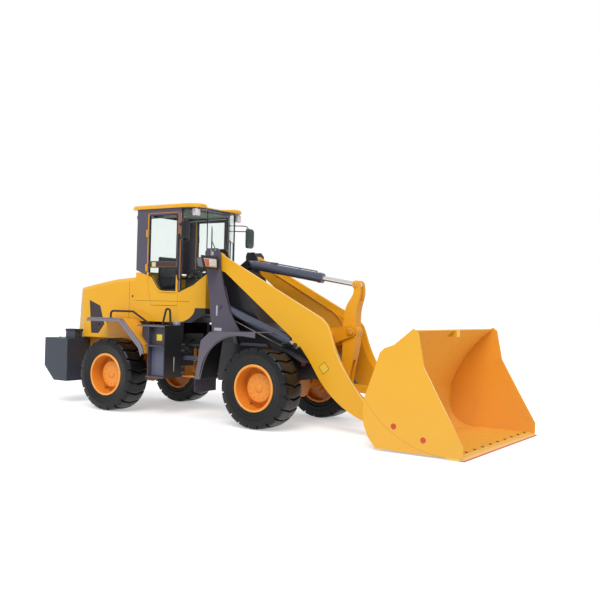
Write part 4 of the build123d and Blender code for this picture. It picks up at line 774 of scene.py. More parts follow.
def perforation_tree():
    """Small round holes over a flat sheet, painted dark as painted shade of the bay behind, and here and there
    one painted pale as painted light coming through.
    """
    tree = bpy.data.node_groups.new("perforations", "GeometryNodeTree")
    given, out = sockets(
        tree, (("Geometry", "Geometry", None), ("Hole radius", "Float", 0.005), ("Pitch", "Float", 0.017),
               ("Bright share", "Float", 0.1), ("Hole", "Material", None), ("Bright", "Material", None)),
        (("Geometry", "Geometry"),),
    )
    node, link = tree.nodes.new, tree.links.new
    spots = node("GeometryNodeDistributePointsOnFaces")
    spots.distribute_method = "POISSON"
    spots.inputs["Density Max"].default_value = 9000
    spots.inputs["Seed"].default_value = 7
    link(given["Geometry"], spots.inputs["Mesh"])
    link(given["Pitch"], spots.inputs["Distance Min"])
    disc = node("GeometryNodeMeshCylinder")
    disc.inputs["Vertices"].default_value = 7
    disc.inputs["Depth"].default_value = 0.0012
    link(given["Hole radius"], disc.inputs["Radius"])
    on = node("GeometryNodeInstanceOnPoints")
    link(spots.outputs["Points"], on.inputs["Points"])
    link(spots.outputs["Rotation"], on.inputs["Rotation"])
    dark = node("GeometryNodeSetMaterial")
    link(disc.outputs["Mesh"], dark.inputs["Geometry"])
    link(given["Hole"], dark.inputs["Material"])
    link(dark.outputs["Geometry"], on.inputs["Instance"])
    pick = node("FunctionNodeRandomValue")
    pick.data_type = "BOOLEAN"
    link(given["Bright share"], pick.inputs["Probability"])
    pick.inputs["Seed"].default_value = 11
    real = node("GeometryNodeRealizeInstances")
    keep = node("GeometryNodeStoreNamedAttribute")
    keep.data_type = "BOOLEAN"
    keep.domain = "INSTANCE"
    keep.inputs["Name"].default_value = "bright"
    link(on.outputs["Instances"], keep.inputs["Geometry"])
    link(pick.outputs[3], keep.inputs["Value"])
    link(keep.outputs["Geometry"], real.inputs["Geometry"])
    lit = node("GeometryNodeInputNamedAttribute")
    lit.data_type = "BOOLEAN"
    lit.inputs["Name"].default_value = "bright"
    bright = node("GeometryNodeSetMaterial")
    link(real.outputs["Geometry"], bright.inputs["Geometry"])
    link(lit.outputs["Attribute"], bright.inputs["Selection"])
    link(given["Bright"], bright.inputs["Material"])
    link(bright.outputs["Geometry"], out["Geometry"])
    return tree


perforations = perforation_tree()
# The dark hole discs are painted shade; the pale ones are painted light seen through the sheet.
hole_shade = enamel("hole_shade", "#17161A", "#101013", gloss=0.6, dull=0.7, coat=0.0)
hole_light = enamel("hole_light", "#CFC6C2", "#A79C9A", gloss=0.4, dull=0.5, coat=0.0)
vent_corners = [(-0.93, 1.70), (-0.69, 1.612), (-0.625, 1.418), (-0.585, 1.322), (-0.715, 1.178),
                (-0.87, 1.178)]
for side, hand in hands:
    sheet = bpy.data.meshes.new("vent_face")
    outline = [(rx + dx, side * 0.5082, z) for dx, z in vent_corners]
    sheet.from_pydata(outline if side < 0 else outline[::-1], [], [range(len(outline))[::-1]])
    grown(f"vent_perforations_{hand}", sheet, perforations, {
        "Hole radius": 0.0052, "Pitch": 0.0175, "Bright share": 0.09,
        "Hole": hole_shade, "Bright": hole_light,
    }, "rear")

# The louvre's blades are Z sections that follow the slope of the hood's tail.
shape = bmesh.new()
blade_half, blade_pitch, tail_slope = 0.278, 0.033, 0.14 / 0.65
for k in range(15):
    z = 1.288 + blade_pitch * k
    x = hood_low.x + 0.012 + (z - 1.22) * tail_slope
    for low_z, back in ((z, 0.0), (z + 0.012, 0.022)):
        add_block(shape, (x + back, -blade_half, low_z), (x + back + 0.024, blade_half, low_z + 0.004), 0.001)
    add_block(shape, (x + 0.02, -blade_half, z), (x + 0.026, blade_half, z + 0.016), 0.001)
for y in (-0.279, -0.002, 0.275):
    add_block(shape, (hood_low.x + 0.035, y, 1.272), (hood_low.x + 0.16, y + 0.004, 1.776), 0.001)
settle("radiator_louvre", shape, mesh_paint, "rear")


# ------------------------------------------------------------------ step tanks
# The fuel and oil tanks are folded steel boxes in violet grey, black on their front faces, with
# step plates, a cast filler cap, a sight glass and a blank yellow plate. Bolted brackets hold them.
def add_plate(shape, outline, near, far, across="y"):
    """A plate cut to an outline of two coordinates, from near to far along the third."""
    def at(a, b, level):
        return {"x": (level, a, b), "y": (a, level, b), "z": (a, b, level)}[across]
    ends = [[shape.verts.new(at(a, b, level)) for a, b in outline] for level in sorted((near, far))]
    shape.faces.new(ends[0])
    shape.faces.new(ends[1][::-1])
    for i in range(len(outline)):
        j = (i + 1) % len(outline)
        shape.faces.new((ends[0][i], ends[0][j], ends[1][j], ends[1][i]))


tank_high = corners("fuel_tank")[1]
tank_front = tank_high.x
tank_paint = enamel("tank_enamel", "#4A4553", "#3F3B47", gloss=0.35, dull=0.5, dust=0.4, bands=[
    ([("X", tank_front - 0.013, 0)], "#232226"),
    ([("|Y|", 0.829, 0.8305), ("X", tank_front - 0.325, tank_front - 0.014), ("Z", 0.6, 1.03)], "#5B6076"),
    ([("Z", 1.329, 1.3525), ("X", -9, tank_front - 0.001)], "#6B6671"),
    ([("Z", 1.3535, 9)], "#8B8990"),
])
dress(("fuel_tank", "hydraulic_tank"), tank_paint)
plate_yellow = enamel("plate_yellow", "#E9CE3A", "#E2C432", gloss=0.3, dull=0.4, dust=0.1)
sight_glass, tree, shader, place = new_material("sight_glass")
shader["Roughness"].default_value = 0.1
shader["Coat Weight"].default_value = 0.6
split = tree.nodes.new("ShaderNodeSeparateXYZ")
tree.links.new(place, split.inputs["Vector"])
oil_level = ramp(tree, split.outputs["Z"], 0.70, 0.86)
tree.links.new(blend_colours(tree, oil_level, tint("#8E8F7C"), tint("#B9BDB8")), shader["Base Color"])
caps = bmesh.new()
trim = bmesh.new()
plates = bmesh.new()
glass_strips = bmesh.new()
glass_y, bracket_y, bracket_levels = 0.70, 0.505, (0.683, 1.019)
for side in sides:
    add_turned(caps, (tank_front - 0.06, side * 0.59, tank_high.z - 0.004), (0, 0, 1), [
        (-0.03, 0.058), (0.012, 0.060), (0.020, 0.055), (0.020, 0.020), (0.030, 0.016),
    ], 36)
    # each block on the tank's front face: target, middle, reach to both sides, levels, thickness, eased edge
    fitted = [(glass_strips, glass_y, (0.009, 0.009), (0.66, 0.88), 0.008, 0.003)]
    fitted += [(trim, glass_y, (0.02, 0.02), (z, z + 0.025), 0.016, 0.004) for z in (0.64, 0.885)]
    fitted += [(trim, bracket_y, (0.03, 0.045), (z - 0.075, z + 0.075), 0.01, 0.003) for z in bracket_levels]
    for target, y, (less, more), (z, z2), thick, eased in fitted:
        add_block(target, (tank_front - 0.001, side * y - less, z),
                  (tank_front + thick, side * y + more, z2), eased)
    add_block(plates, (tank_front - 0.235, side * 0.8295, 1.12),
              (tank_front - 0.125, side * 0.834, 1.215), 0.001)
    # raised marks on the three step plates: how far back each plate begins, and its level
    for back, level in ((0.31, 1.055), (0.29, 0.59), (0.50, 1.352)):
        for k in range(6):
            x = tank_front - back + 0.03 + k * (back - 0.06) / 5.4
            add_block(trim, (x, side * 0.86, level - 0.001), (x + 0.02, side * 0.905, level + 0.004), 0.0015)
settle("filler_caps", caps, enamel("cap_grey", "#A3A1A6", "#8F8D93", gloss=0.3, dull=0.42), "rear")
settle("tank_brackets", trim, black_paint, "rear")
settle("blank_tank_plates", plates, plate_yellow, "rear")
settle("sight_glasses", glass_strips, sight_glass, "rear")
bolts("tank_bolts", [
    ((tank_front + 0.009, side * (bracket_y + dy), z + dz), (1, 0, 0))
    for side in sides for dy in (-0.012, 0.028) for z in bracket_levels for dz in (-0.045, 0.045)
], 0.011, zinc, "rear")


# ------------------------------------------------------------------ rear fenders
# Each rear fender is bent sheet, yellow on top like the hood, with a rolled light-grey rim along its
# outer edge. A crease runs up its inner wall where two sheets lap.
fender_line = [(-0.46, 1.43), (0.26, 1.435), (0.69, 1.05), (0.738, 0.93)]
fender_high = corners("rear_fenders")[1]
fender_paint = enamel("fender_enamel", "#EDAA34", "#E39C2A", dust=0.3, dust_top=1.5, bands=[
    ([("|Y|", fender_high.y - 0.06, 2)], "#6E6875"),
])
dress(("rear_fenders",), fender_paint)
rim_grey = enamel("rolled_rim_grey", "#837D8A", "#756F7C", gloss=0.25, dull=0.38)
shape = bmesh.new()
for side in sides:
    y = side * (fender_high.y - 0.02)
    add_tube(shape, [(rx + dx + 0.004, y, z - 0.012) for dx, z in fender_line], 0.0195, 0.10, 14)
    band = [(rx + dx, z - 0.014) for dx, z in fender_line]
    band += [(rx + dx - 0.022, z - 0.05) for dx, z in fender_line[::-1]]
    add_plate(shape, band, side * (fender_high.y - 0.0005), side * (fender_high.y + 0.004))
settle("fender_rims", shape, rim_grey, "rear")
shape = bmesh.new()
for side in sides:
    add_plate(shape, [(rx - 0.02, 1.04), (rx, 1.04), (rx + 0.24, 1.42), (rx + 0.22, 1.42)],
              side * 0.6015, side * 0.604)
settle("fender_laps", shape, fender_paint, "rear")


# ------------------------------------------------------------------ hand rails
# The rails are bent 32 mm tube, painted black, with a small foot plate welded at each end.
rail_black = enamel("rail_black", "#26252A", "#1E1E22", gloss=0.22, dull=0.36, dust=0.1)
dress(("handrails",), rail_black)
shape = bmesh.new()
for side in sides:
    for x, y, z in ((rx + 0.93, 0.74, 1.3525), (rx + 1.08, 0.74, 1.3525), (rx - 0.24, 0.70, 1.4325)):
        add_cap(shape, (x, side * y, z - 0.001), (0, 0, 1), 0.034, 0.005, (0.003, 0.01), 24)
settle("rail_feet", shape, rail_black, "rear")


# ------------------------------------------------------------------ cab shell, frame and roof
# The cab's lower shell is pressed sheet in yellow; its posts and header are rolled section in violet
# grey with a thin orange line along their edges; the roof is a moulded cap. Black mats line the floor.
shell_low, shell_high = corners("cab_body")
cab_side = shell_high.y
waist_joint = ("Z", 1.717, 1.722)
underfloor_shade = "#26252A"
# Below the floor, inboard of the sides, the shell is painted near black as painted shade under the cab.
shell_paint = enamel("shell_enamel", *amber, dust=0.15, dust_top=1.6, bands=[
    ([waist_joint, ("|Y|", cab_side - 0.1, 1), ("X", shell_low.x + 0.002, shell_high.x - 0.19)], joint),
    ([("|Y|", -1, 0.50), ("Z", 0, 1.402)], underfloor_shade),
])
# The shell's front corner is painted near black too, outside a quarter round below, as painted shade under the
# cab.
round_x, round_z, round_radius = fx - 1.80, 1.625, 0.226
tree = shell_paint.node_tree
shader = tree.nodes["Principled BSDF"].inputs
spot = tree.nodes.new("ShaderNodeSeparateXYZ")
tree.links.new(tree.nodes["Texture Coordinate"].outputs["Object"], spot.inputs["Vector"])
away = [math_node(tree, "SUBTRACT", spot.outputs["X"], round_x),
        math_node(tree, "SUBTRACT", round_z, spot.outputs["Z"])]
squares = [math_node(tree, "POWER", math_node(tree, "MAXIMUM", value, 0.0), 2.0) for value in away]
reach = math_node(tree, "SQRT", math_node(tree, "ADD", *squares), 0.0)
past = math_node(tree, "MULTIPLY", *[math_node(tree, "GREATER_THAN", value, 0.0) for value in away])
corner_shade = math_node(tree, "MULTIPLY", math_node(tree, "GREATER_THAN", reach, round_radius), past)
painted = shader["Base Color"].links[0].from_socket
tree.links.new(blend_colours(tree, corner_shade, painted, tint(underfloor_shade)), shader["Base Color"])
dress(("cab_body",), shell_paint)
roof_paint = enamel("roof_enamel", "#EEB024", "#E7A61E", dust=0.0)
dress(("cab_roof",), roof_paint)
post_paint = enamel("post_enamel", "#5A5464", "#4E4957", gloss=0.32, dull=0.45, dust=0.0)
dress(("cab_frame",), post_paint)
line_orange = enamel("edge_orange", "#D98A22", "#C97C1C", gloss=0.3, dull=0.4, dust=0.0)
shape = bmesh.new()
for side in sides:
    for x, x2, z, z2 in ((fx - 1.766, fx - 1.756, 1.88, 3.085), (fx - 1.792, fx - 1.786, 2.72, 3.06)):
        add_block(shape, (x, side * (cab_side - 0.0005), z), (x2, side * (cab_side + 0.0035), z2), 0.0008)
settle("post_edge_lines", shape, line_orange, "rear")

# The lining is a floor mat with ribs, narrower between the screen's slanting ends, and side panels.
mat_low, mat_high, lining_back, lining_front = 1.4795, 1.492, shell_low.x + 0.05, fx - 1.80
lining_grey = enamel("lining_grey", "#5B6462", "#4D5553", gloss=0.6, dull=0.75, coat=0.0, dust=0.0)
shape = bmesh.new()
add_block(shape, (lining_back - 0.005, -0.535, mat_low), (lining_front, 0.535, mat_high), 0.002)
add_block(shape, (fx - 1.81, -0.30, mat_low), (fx - 1.50, 0.30, mat_high - 0.0005), 0.002)
for side in sides:
    add_plate(shape, [
        (lining_back, 1.49), (lining_front, 1.49), (lining_front, 1.84), (fx - 2.16, 1.87), (fx - 2.33, 2.1),
        (lining_back, 2.1),
    ], side * 0.532, side * 0.5445)
for k in range(14):
    x = shell_low.x + 0.10 + 0.055 * k
    add_block(shape, (x, -0.5, mat_high - 0.001), (x + 0.02, 0.5, mat_high + 0.003), 0.001)
settle("cab_lining", shape, lining_grey, "rear")
shape = bmesh.new()
for y in (-0.36, 0.36):
    add_tube(shape, [(fx - 2.64, y, 3.09), (fx - 2.60, y, 3.04), (fx - 1.78, y * 0.9, 3.06)], 0.012, 0.04, 8)
add_block(shape, (fx - 2.62, -0.5, 3.105), (fx - 1.70, 0.5, 3.1345), 0.01)
headliner_grey = enamel("headliner_grey", "#97A29E", "#88938F", gloss=0.6, dull=0.75, coat=0.0, dust=0.0)
settle("headlining", shape, headliner_grey, "rear")

# A raised cowl of the same sheet closes the foot of the windscreen before the dash.
shape = bmesh.new()
half_front, cowl_foot, cowl_top, cowl_thick = 0.335, 1.850, 2.148, 0.007
for side in (1, -1):
    crest = [(fx - 1.764, side * 0.580, 1.874), (fx - 1.606, side * 0.460, 1.975),
             (fx - 1.4535, side * half_front, cowl_top)]
    outline = [(x, y, cowl_foot) for x, y, _ in crest] + crest[::-1]
    inset = Vector((-0.613, -side * 0.79, 0)) * cowl_thick
    front = [shape.verts.new(p) for p in outline]
    back = [shape.verts.new(Vector(p) + inset) for p in outline]
    for quad in zip(front, front[1:] + front[:1], back[1:] + back[:1], back):
        shape.faces.new(quad)
    for a, b, c, d in ((0, 1, 4, 5), (1, 2, 3, 4)):
        shape.faces.new((front[a], front[b], front[c], front[d]))
        shape.faces.new((back[d], back[c], back[b], back[a]))
bmesh.ops.recalc_face_normals(shape, faces=shape.faces)
add_block(shape, (fx - 1.4585, -half_front + 0.001, cowl_foot),
          (fx - 1.4505, half_front - 0.001, cowl_top), 0.002)
settle("windscreen_cowl", shape, shell_paint, "rear")


# ------------------------------------------------------------------ cab glass
# The panes are 6 to 8 mm toughened glass with a faint green cast, bonded in black rubber. A wiper
# with a blade on a sprung arm sweeps the windscreen, whose slanting ends carry a black border.
def polished(name, light, deep, scale, detail, rough, fixed):
    """A smooth glass or metal: two close tones, and a roughness that drifts with them."""
    material, tree, shader, place = new_material(name)
    film = noise(tree, place, scale, detail)
    tree.links.new(blend_colours(tree, film, tint(light), tint(deep)), shader["Base Color"])
    tree.links.new(ramp(tree, film, 0.3, 0.7, *rough), shader["Roughness"])
    for socket, value in fixed.items():
        shader[socket].default_value = value
    return material


pane = polished("cab_pane", "#FAFDFC", "#F0F6F3", 3, 4, (0.0, 0.035),
                {"Transmission Weight": 1.0, "IOR": 1.12})
dress(("windscreen", "rear_window", "door_right_glass", "door_left_glass"), pane)
rubber_black = enamel("seal_rubber", "#1C1C1F", "#141417", gloss=0.4, dull=0.6, coat=0.0, dust=0.0)
shape = bmesh.new()
seal, rear_seal = 0.008, 0.010      # radii of the rubbers
nose_x = fx - 1.4535
for side in sides:
    add_tube(shape, [
        (fx - 1.760, side * 0.580, 1.878), (fx - 1.606, side * 0.459, 1.980),
        (fx - 1.456, side * 0.337, 2.150), (fx - 1.4515, side * 0.32, 2.155), (fx - 1.4515, 0, 2.155),
    ], seal, 0.012, 8)
    add_tube(shape, [(nose_x, side * 0.3335, 2.15), (nose_x, side * 0.3335, 3.13)], seal, 0.02, 8)
    add_tube(shape, [(fx - 1.757, side * 0.5765, 1.87), (fx - 1.757, side * 0.5765, 3.13)], seal, 0.02, 8)
add_tube(shape, [(nose_x, -0.333, 3.125), (nose_x, 0.333, 3.125)], seal, 0.02, 8)
rear_x, rear_half = corners("rear_window")[0].x - 0.001, 0.402
for side in sides:
    add_tube(shape, [(rear_x, side * rear_half, 2.17), (rear_x, side * rear_half, 3.08)], rear_seal, 0.02, 8)
for z in (2.168, 3.082):
    add_tube(shape, [(rear_x, -rear_half, z), (rear_x, rear_half, z)], rear_seal, 0.02, 8)
settle("window_rubbers", shape, rubber_black, "rear")
shape = bmesh.new()
screen_x = corners("windscreen")[1].x
spindle_y, spindle_z, blade_y = 0.02, 2.02, -0.2255
add_tube(shape, [(screen_x + out, spindle_y, spindle_z) for out in (0.004, 0.034)], 0.016, 0.01, 12)
add_tube(shape, [(screen_x + out, y, z) for out, y, z in (
    (0.030, spindle_y, spindle_z), (0.034, -0.03, 2.20), (0.028, -0.16, 2.55), (0.022, -0.235, 2.66))],
    0.0065, 0.05, 8)
add_block(shape, (screen_x + 0.002, blade_y - 0.003, 2.42), (screen_x + 0.013, blade_y + 0.003, 2.89), 0.002)
add_tube(shape, [(screen_x + out, blade_y, z) for out, z in ((0.016, 2.46), (0.022, 2.66), (0.016, 2.86))],
         0.004, 0.1, 6)
settle("windscreen_wiper", shape, rubber_black, "rear")


# ------------------------------------------------------------------ doors
# Each door is pressed sheet, violet grey above its waist and yellow below, edged with a thin orange
# line, glazed in rubber, hung on two welded hinges and shut with a flush handle. A tube rail helps in.
door_low, door_high = corners("door_right")
waist = 2.165
door_paint = enamel("door_enamel", *amber, dust=0.1, dust_top=1.7, bands=[
    ([("Z", waist, 4), ("X", door_low.x + 0.034, 9)], "#565060"),
    ([("Z", 2.245, 2.326), ("X", door_low.x + 0.05, door_high.x - 0.05)], "#3E3238"),
    ([waist_joint], joint),
])
dress(("door_right", "door_left"), door_paint)
front_x = fx - 1.8
rear_x = fx - 2.45
top_z = 3.085
low_window = [(fx - 2.405, 2.10), (fx - 2.35, 2.10), (fx - 2.2, 1.905), (fx - 2.1, 1.88), (fx - 1.845, 1.88),
              (fx - 1.845, 2.24), (fx - 2.405, 2.24)]
high_window = [(rear_x + 0.042, 2.33), (front_x - 0.042, 2.33), (front_x - 0.042, 3.043),
               (rear_x + 0.042, 3.043)]
bead_line = [(fx - 2.415, 2.085), (fx - 2.355, 2.085), (fx - 2.208, 1.890), (fx - 2.105, 1.862),
             (fx - 1.830, 1.862)]
# the orange lines: from and to along the machine, from and to in height
edge_lines = [(rear_x, rear_x + 0.008, 2.13, top_z), (front_x - 0.008, front_x, 1.90, top_z),
              (rear_x, front_x, top_z - 0.008, top_z), (rear_x + 0.04, front_x - 0.04, 2.327, 2.333)]
edge_lines += [(rear_x + 0.05, front_x - 0.05, z, z + 0.005) for z in (2.243, 2.322)]
# the same, then how far out of the door's face from and to, and the eased edge
handle_parts = [(front_x - 0.034, front_x - 0.012, 2.12, 2.235, -0.001, 0.014, 0.004),
                (front_x - 0.030, front_x - 0.016, 2.135, 2.185, 0.013, 0.024, 0.003)]
plate_part = (fx - 2.345, fx - 2.265, 2.25, 2.318, -0.001, 0.002, 0.0006)


def door_blocks(name, finish, side, hand, parts):
    """Thin blocks on the face of one door, as one piece that swings with it."""
    shape = bmesh.new()
    for x, x2, z, z2, sunk, proud, eased in parts:
        add_block(shape, (x, side * (cab_side + sunk), z), (x2, side * (cab_side + proud), z2), eased)
    settle(f"{name}_{hand}", shape, finish, f"door_{hand}")


for side, hand in hands:
    body = f"door_{hand}"
    shape = bmesh.new()
    for points in (low_window, high_window):
        add_tube(shape, [(x, side * (cab_side - 0.001), z) for x, z in points + points[:1]], 0.0065, 0.012, 8)
    settle(f"door_rubbers_{hand}", shape, rubber_black, body)
    door_blocks("door_edge_lines", line_orange, side, hand,
                [line + (-0.0005, 0.003, 0.0008) for line in edge_lines])
    shape = bmesh.new()
    add_tube(shape, [(x, side * (cab_side + 0.001), z) for x, z in bead_line], 0.014, 0.05, 10)
    settle(f"door_pressed_bead_{hand}", shape, door_paint, body)
    door_blocks("door_handle", rail_black, side, hand, handle_parts)
    plate_cream = enamel(f"plate_cream_{hand}", "#DCD39A", "#D2C98E", dust=0.0)
    door_blocks("blank_door_plate", plate_cream, side, hand, [plate_part])
    bolts(f"hinge_screws_{hand}", [
        ((fx - 2.43, side * (cab_side + 0.006), z), (0, side, 0)) for z in (2.205, 2.265, 2.735, 2.795)
    ], 0.006, zinc, body)
    shape = bmesh.new()
    root_y, rail_y = side * (cab_side - 0.001), side * (cab_side + 0.045)
    add_tube(shape, [
        (fx - 1.775, root_y, 2.735), (fx - 1.775, rail_y, 2.735), (fx - 1.765, rail_y, 2.73),
        (fx - 1.765, rail_y, 2.06), (fx - 1.765, root_y, 2.045),
    ], 0.0105, 0.03, 10)
    settle(f"grab_rail_{hand}", shape, rail_black, "rear")


# ------------------------------------------------------------------ seat and controls
# The seat is a sprung suspension box under moulded black vinyl cushions with sewn channels; the
# console is grained plastic with a padded rim wheel and three levers beside the seat.
vinyl, tree, shader, place = new_material("seat_vinyl")
grain = tree.nodes.new("ShaderNodeTexVoronoi")
grain.inputs["Scale"].default_value = 420
tree.links.new(place, grain.inputs["Vector"])
tree.links.new(blend_colours(tree, noise(tree, place, 5, 4), tint("#3B4246"), tint("#2C3236")),
               shader["Base Color"])
tree.links.new(ramp(tree, grain.outputs["Distance"], 0.0, 0.6, 0.5, 0.62), shader["Roughness"])
raise_bump(tree, grain.outputs["Distance"], shader, 0.3, 0.0006)
plastic, tree, shader, place = new_material("console_plastic")
tree.links.new(blend_colours(tree, noise(tree, place, 8, 3), tint("#2A2D31"), tint("#212327")),
               shader["Base Color"])
tree.links.new(ramp(tree, noise(tree, place, 60, 3), 0.3, 0.7, 0.45, 0.6), shader["Roughness"])
raise_bump(tree, noise(tree, place, 500, 2), shader, 0.4, 0.0004)
dress(("steering_console",), plastic)
floor_z = corners("seat")[0].z
seat_x = fx - 2.3


def cushion(name, low, high, channels, across):
    """A crowned vinyl pad between two corners, with sewn channels across it."""
    shape = bmesh.new()
    bmesh.ops.create_cube(shape, size=1)
    bmesh.ops.subdivide_edges(shape, edges=shape.edges, cuts=13, use_grid_fill=True)
    size = Vector(high) - Vector(low)
    middle = (Vector(low) + Vector(high)) / 2
    thin = min(range(3), key=lambda k: size[k])
    for vert in shape.verts:
        unit = vert.co * 2
        others = [k for k in range(3) if k != thin]
        crown = (1 - unit[others[0]] ** 6) * (1 - unit[others[1]] ** 6)
        groove = 0
        for k in range(channels):
            level = -0.6 + 1.2 * k / max(channels - 1, 1)
            groove += 0.16 * max(0, 1 - abs(unit[across] - level) / 0.09)
        scale = 0.62 + 0.38 * crown ** 0.35 - groove
        point = Vector(vert.co)
        for k in others:
            point[k] *= 1 - 0.05 * abs(unit[thin])
        point[thin] *= scale
        vert.co = middle + Vector([point[k] * size[k] for k in range(3)])
    return shape


pads = (
    ("seat_cushion", (seat_x - 0.25, -0.24, floor_z + 0.33), (seat_x + 0.25, 0.24, floor_z + 0.44), 3, 0),
    ("seat_back", (seat_x - 0.275, -0.23, floor_z + 0.44), (seat_x - 0.165, 0.23, floor_z + 0.95), 4, 2),
)
for name, low, high, channels, across in pads:
    piece = settle(name, cushion(name, low, high, channels, across), vinyl, "rear", 60)
# The base is a bellows of five folds on a foot plate, under the cushion's pan, with two arm rests.
shape = bmesh.new()
fold, foot_half = 0.055, 0.17
for k in range(5):
    z = floor_z + 0.02 + fold * k
    grow = 0.016 * (k % 2)
    add_block(shape, (seat_x - 0.20 - grow, -foot_half - grow, z),
              (seat_x + 0.14 + grow, foot_half + grow, z + fold + 0.001), 0.008)
add_block(shape, (seat_x - 0.23, -0.2, floor_z), (seat_x + 0.17, 0.2, floor_z + 0.022), 0.004)
add_block(shape, (seat_x - 0.23, -0.21, floor_z + 0.295), (seat_x + 0.23, 0.21, floor_z + 0.335), 0.008)
for side in sides:
    add_tube(shape, [(seat_x + dx, side * 0.235, floor_z + rise)
                     for dx, rise in ((-0.22, 0.50), (-0.20, 0.62), (0.10, 0.62))], 0.015, 0.04, 10)
base = settle("seat_base", shape, plastic, "rear")
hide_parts("seat")
shape = bmesh.new()
lever_y, knob_y = -0.36, -0.34
for k in range(3):
    x = fx - 1.98 - 0.07 * k
    add_tube(shape, [(x, lever_y, floor_z + 0.01), (x, lever_y, floor_z + 0.50),
                     (x + 0.03, knob_y, floor_z + 0.60)], 0.008, 0.04, 8)
    add_turned(shape, (x + 0.03, knob_y, floor_z + 0.59), (0, 0, 1),
               [(0, 0.012), (0.012, 0.021), (0.034, 0.021), (0.045, 0.012)], 16)
add_block(shape, (fx - 2.2, -0.42, floor_z + 0.005), (fx - 1.92, -0.30, floor_z + 0.36), 0.02)
settle("control_levers", shape, plastic, "rear")


# ------------------------------------------------------------------ work lamps
# Two square lamps hang under the visors in pale housings with clear ribbed lenses, and two round
# black ones look back from the rear posts.
lamp_high = corners("work_lamps")[1]
lamp_paint = enamel("lamp_housing", "#CFC8D2", "#BDB6C2", gloss=0.25, dull=0.35, dust=0.0, bands=[
    ([("X", -9, fx - 2.6)], "#33333A"),
])
dress(("work_lamps",), lamp_paint)
lens = lens_material("clear_lens", "#F3EEF2", "#D8D4DA", (0.08, 0.22), 0.7, 26, (0.5, 0.0015), "Y")
lamp_x = fx - 1.505
shape = bmesh.new()
frames = bmesh.new()
lamp_y, lens_half, bow_half = 0.5, 0.047, 0.058
for side in sides:
    add_block(shape, (lamp_x - 0.002, side * (lamp_y - lens_half), lamp_high.z - 0.121),
              (lamp_x + 0.008, side * (lamp_y + lens_half), lamp_high.z - 0.027), 0.004)
    add_turned(shape, (fx - 2.752, side * 0.48, lamp_high.z - 0.11), (-1, 0, 0),
               [(0, 0.041), (0.004, 0.038), (0.007, 0.02)], 24)
    add_tube(frames, [
        (lamp_x - 0.03, side * lamp_y + dy, z)
        for dy, z in ((-bow_half, 3.076), (-bow_half, 3.142), (bow_half, 3.142), (bow_half, 3.076))
    ], 0.004, 0.01, 8)
settle("lamp_lenses", shape, lens, "rear")
settle("lamp_brackets", frames, rail_black, "rear")


# ------------------------------------------------------------------ mirrors
# The mirrors are silvered glass in dark moulded shells on bent steel tube from the front posts.
shell_black = enamel("mirror_shell", "#1F1E24", "#18171B", gloss=0.3, dull=0.42, coat=0.1, dust=0.0)
shell_green = enamel("mirror_shell_green", "#45544F", "#2C3A36", gloss=0.12, dull=0.25, dust=0.0)
silver = polished("mirror_silver", "#DDE6E4", "#C9D3D1", 4, 3, (0.02, 0.06), {"Metallic": 1.0})
for hand, side, finish in (("right", -1, shell_black), ("left", 1, shell_green)):
    z_low, z_high = [corner.z for corner in corners(f"mirror_{hand}")]
    glass_x = fx - 1.56
    inner, outer = (0.64, 0.80) if hand == "right" else (0.76, 0.96)
    shape = bmesh.new()
    middle = (side * (inner + outer) / 2, (z_low + z_high) / 2)
    half = ((outer - inner) / 2, (z_high - z_low) / 2)
    add_skin(shape, [[
        (glass_x + x, middle[0] + half[0] * grow * abs(cos(a)) ** 0.45 * (1 if cos(a) > 0 else -1),
         middle[1] + half[1] * grow * abs(sin(a)) ** 0.3 * (1 if sin(a) > 0 else -1)) for a in turned(40)
    ] for x, grow in ((0.0, 1.0), (0.018, 0.995), (0.032, 0.93), (0.041, 0.78), (0.045, 0.45))])
    cup = settle(f"mirror_shell_{hand}", shape, finish, "rear", 50)
    shape = bmesh.new()
    add_block(shape, (glass_x - 0.002, side * (inner + 0.008), z_low + 0.01),
              (glass_x + 0.001, side * (outer - 0.008), z_high - 0.01), 0.0009)
    settle(f"mirror_glass_{hand}", shape, silver, "rear")
    shape = bmesh.new()
    post_x, pad_half, reach_x = fx - 1.772, 0.018, glass_x + 0.022
    end_y = side * (inner + (outer - inner) * 0.55)
    for z in (z_high - 0.055, z_high + 0.035 if hand == "left" else z_low + 0.06):
        path = [(post_x, side * cab_side, z), (post_x, side * (cab_side + 0.03), z)]
        if hand == "left":
            path += [(reach_x, side * (inner - 0.01), z), (reach_x, end_y, min(z, z_high - 0.055)),
                     (reach_x, end_y, z_high - 0.10)]
        else:
            path += [(reach_x + 0.026, end_y, z), (reach_x, end_y, z)]
        add_tube(shape, path, 0.008, 0.04, 10)
        add_block(shape, (post_x - pad_half, side * (cab_side - 0.001), z - 0.022),
                  (post_x + pad_half, side * (cab_side + 0.008), z + 0.022), 0.003)
    settle(f"mirror_arms_{hand}", shape, rail_black, "rear")
    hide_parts(f"mirror_{hand}")
shape = bmesh.new()
add_tube(shape, [(fx - 1.74, 0.585, 2.36), (fx - 1.70, 0.62, 2.36), (fx - 1.70, 0.62, 2.70),
                 (fx - 1.74, 0.585, 2.71)], 0.0095, 0.04, 10)
settle("windscreen_handle", shape, rail_black, "rear")
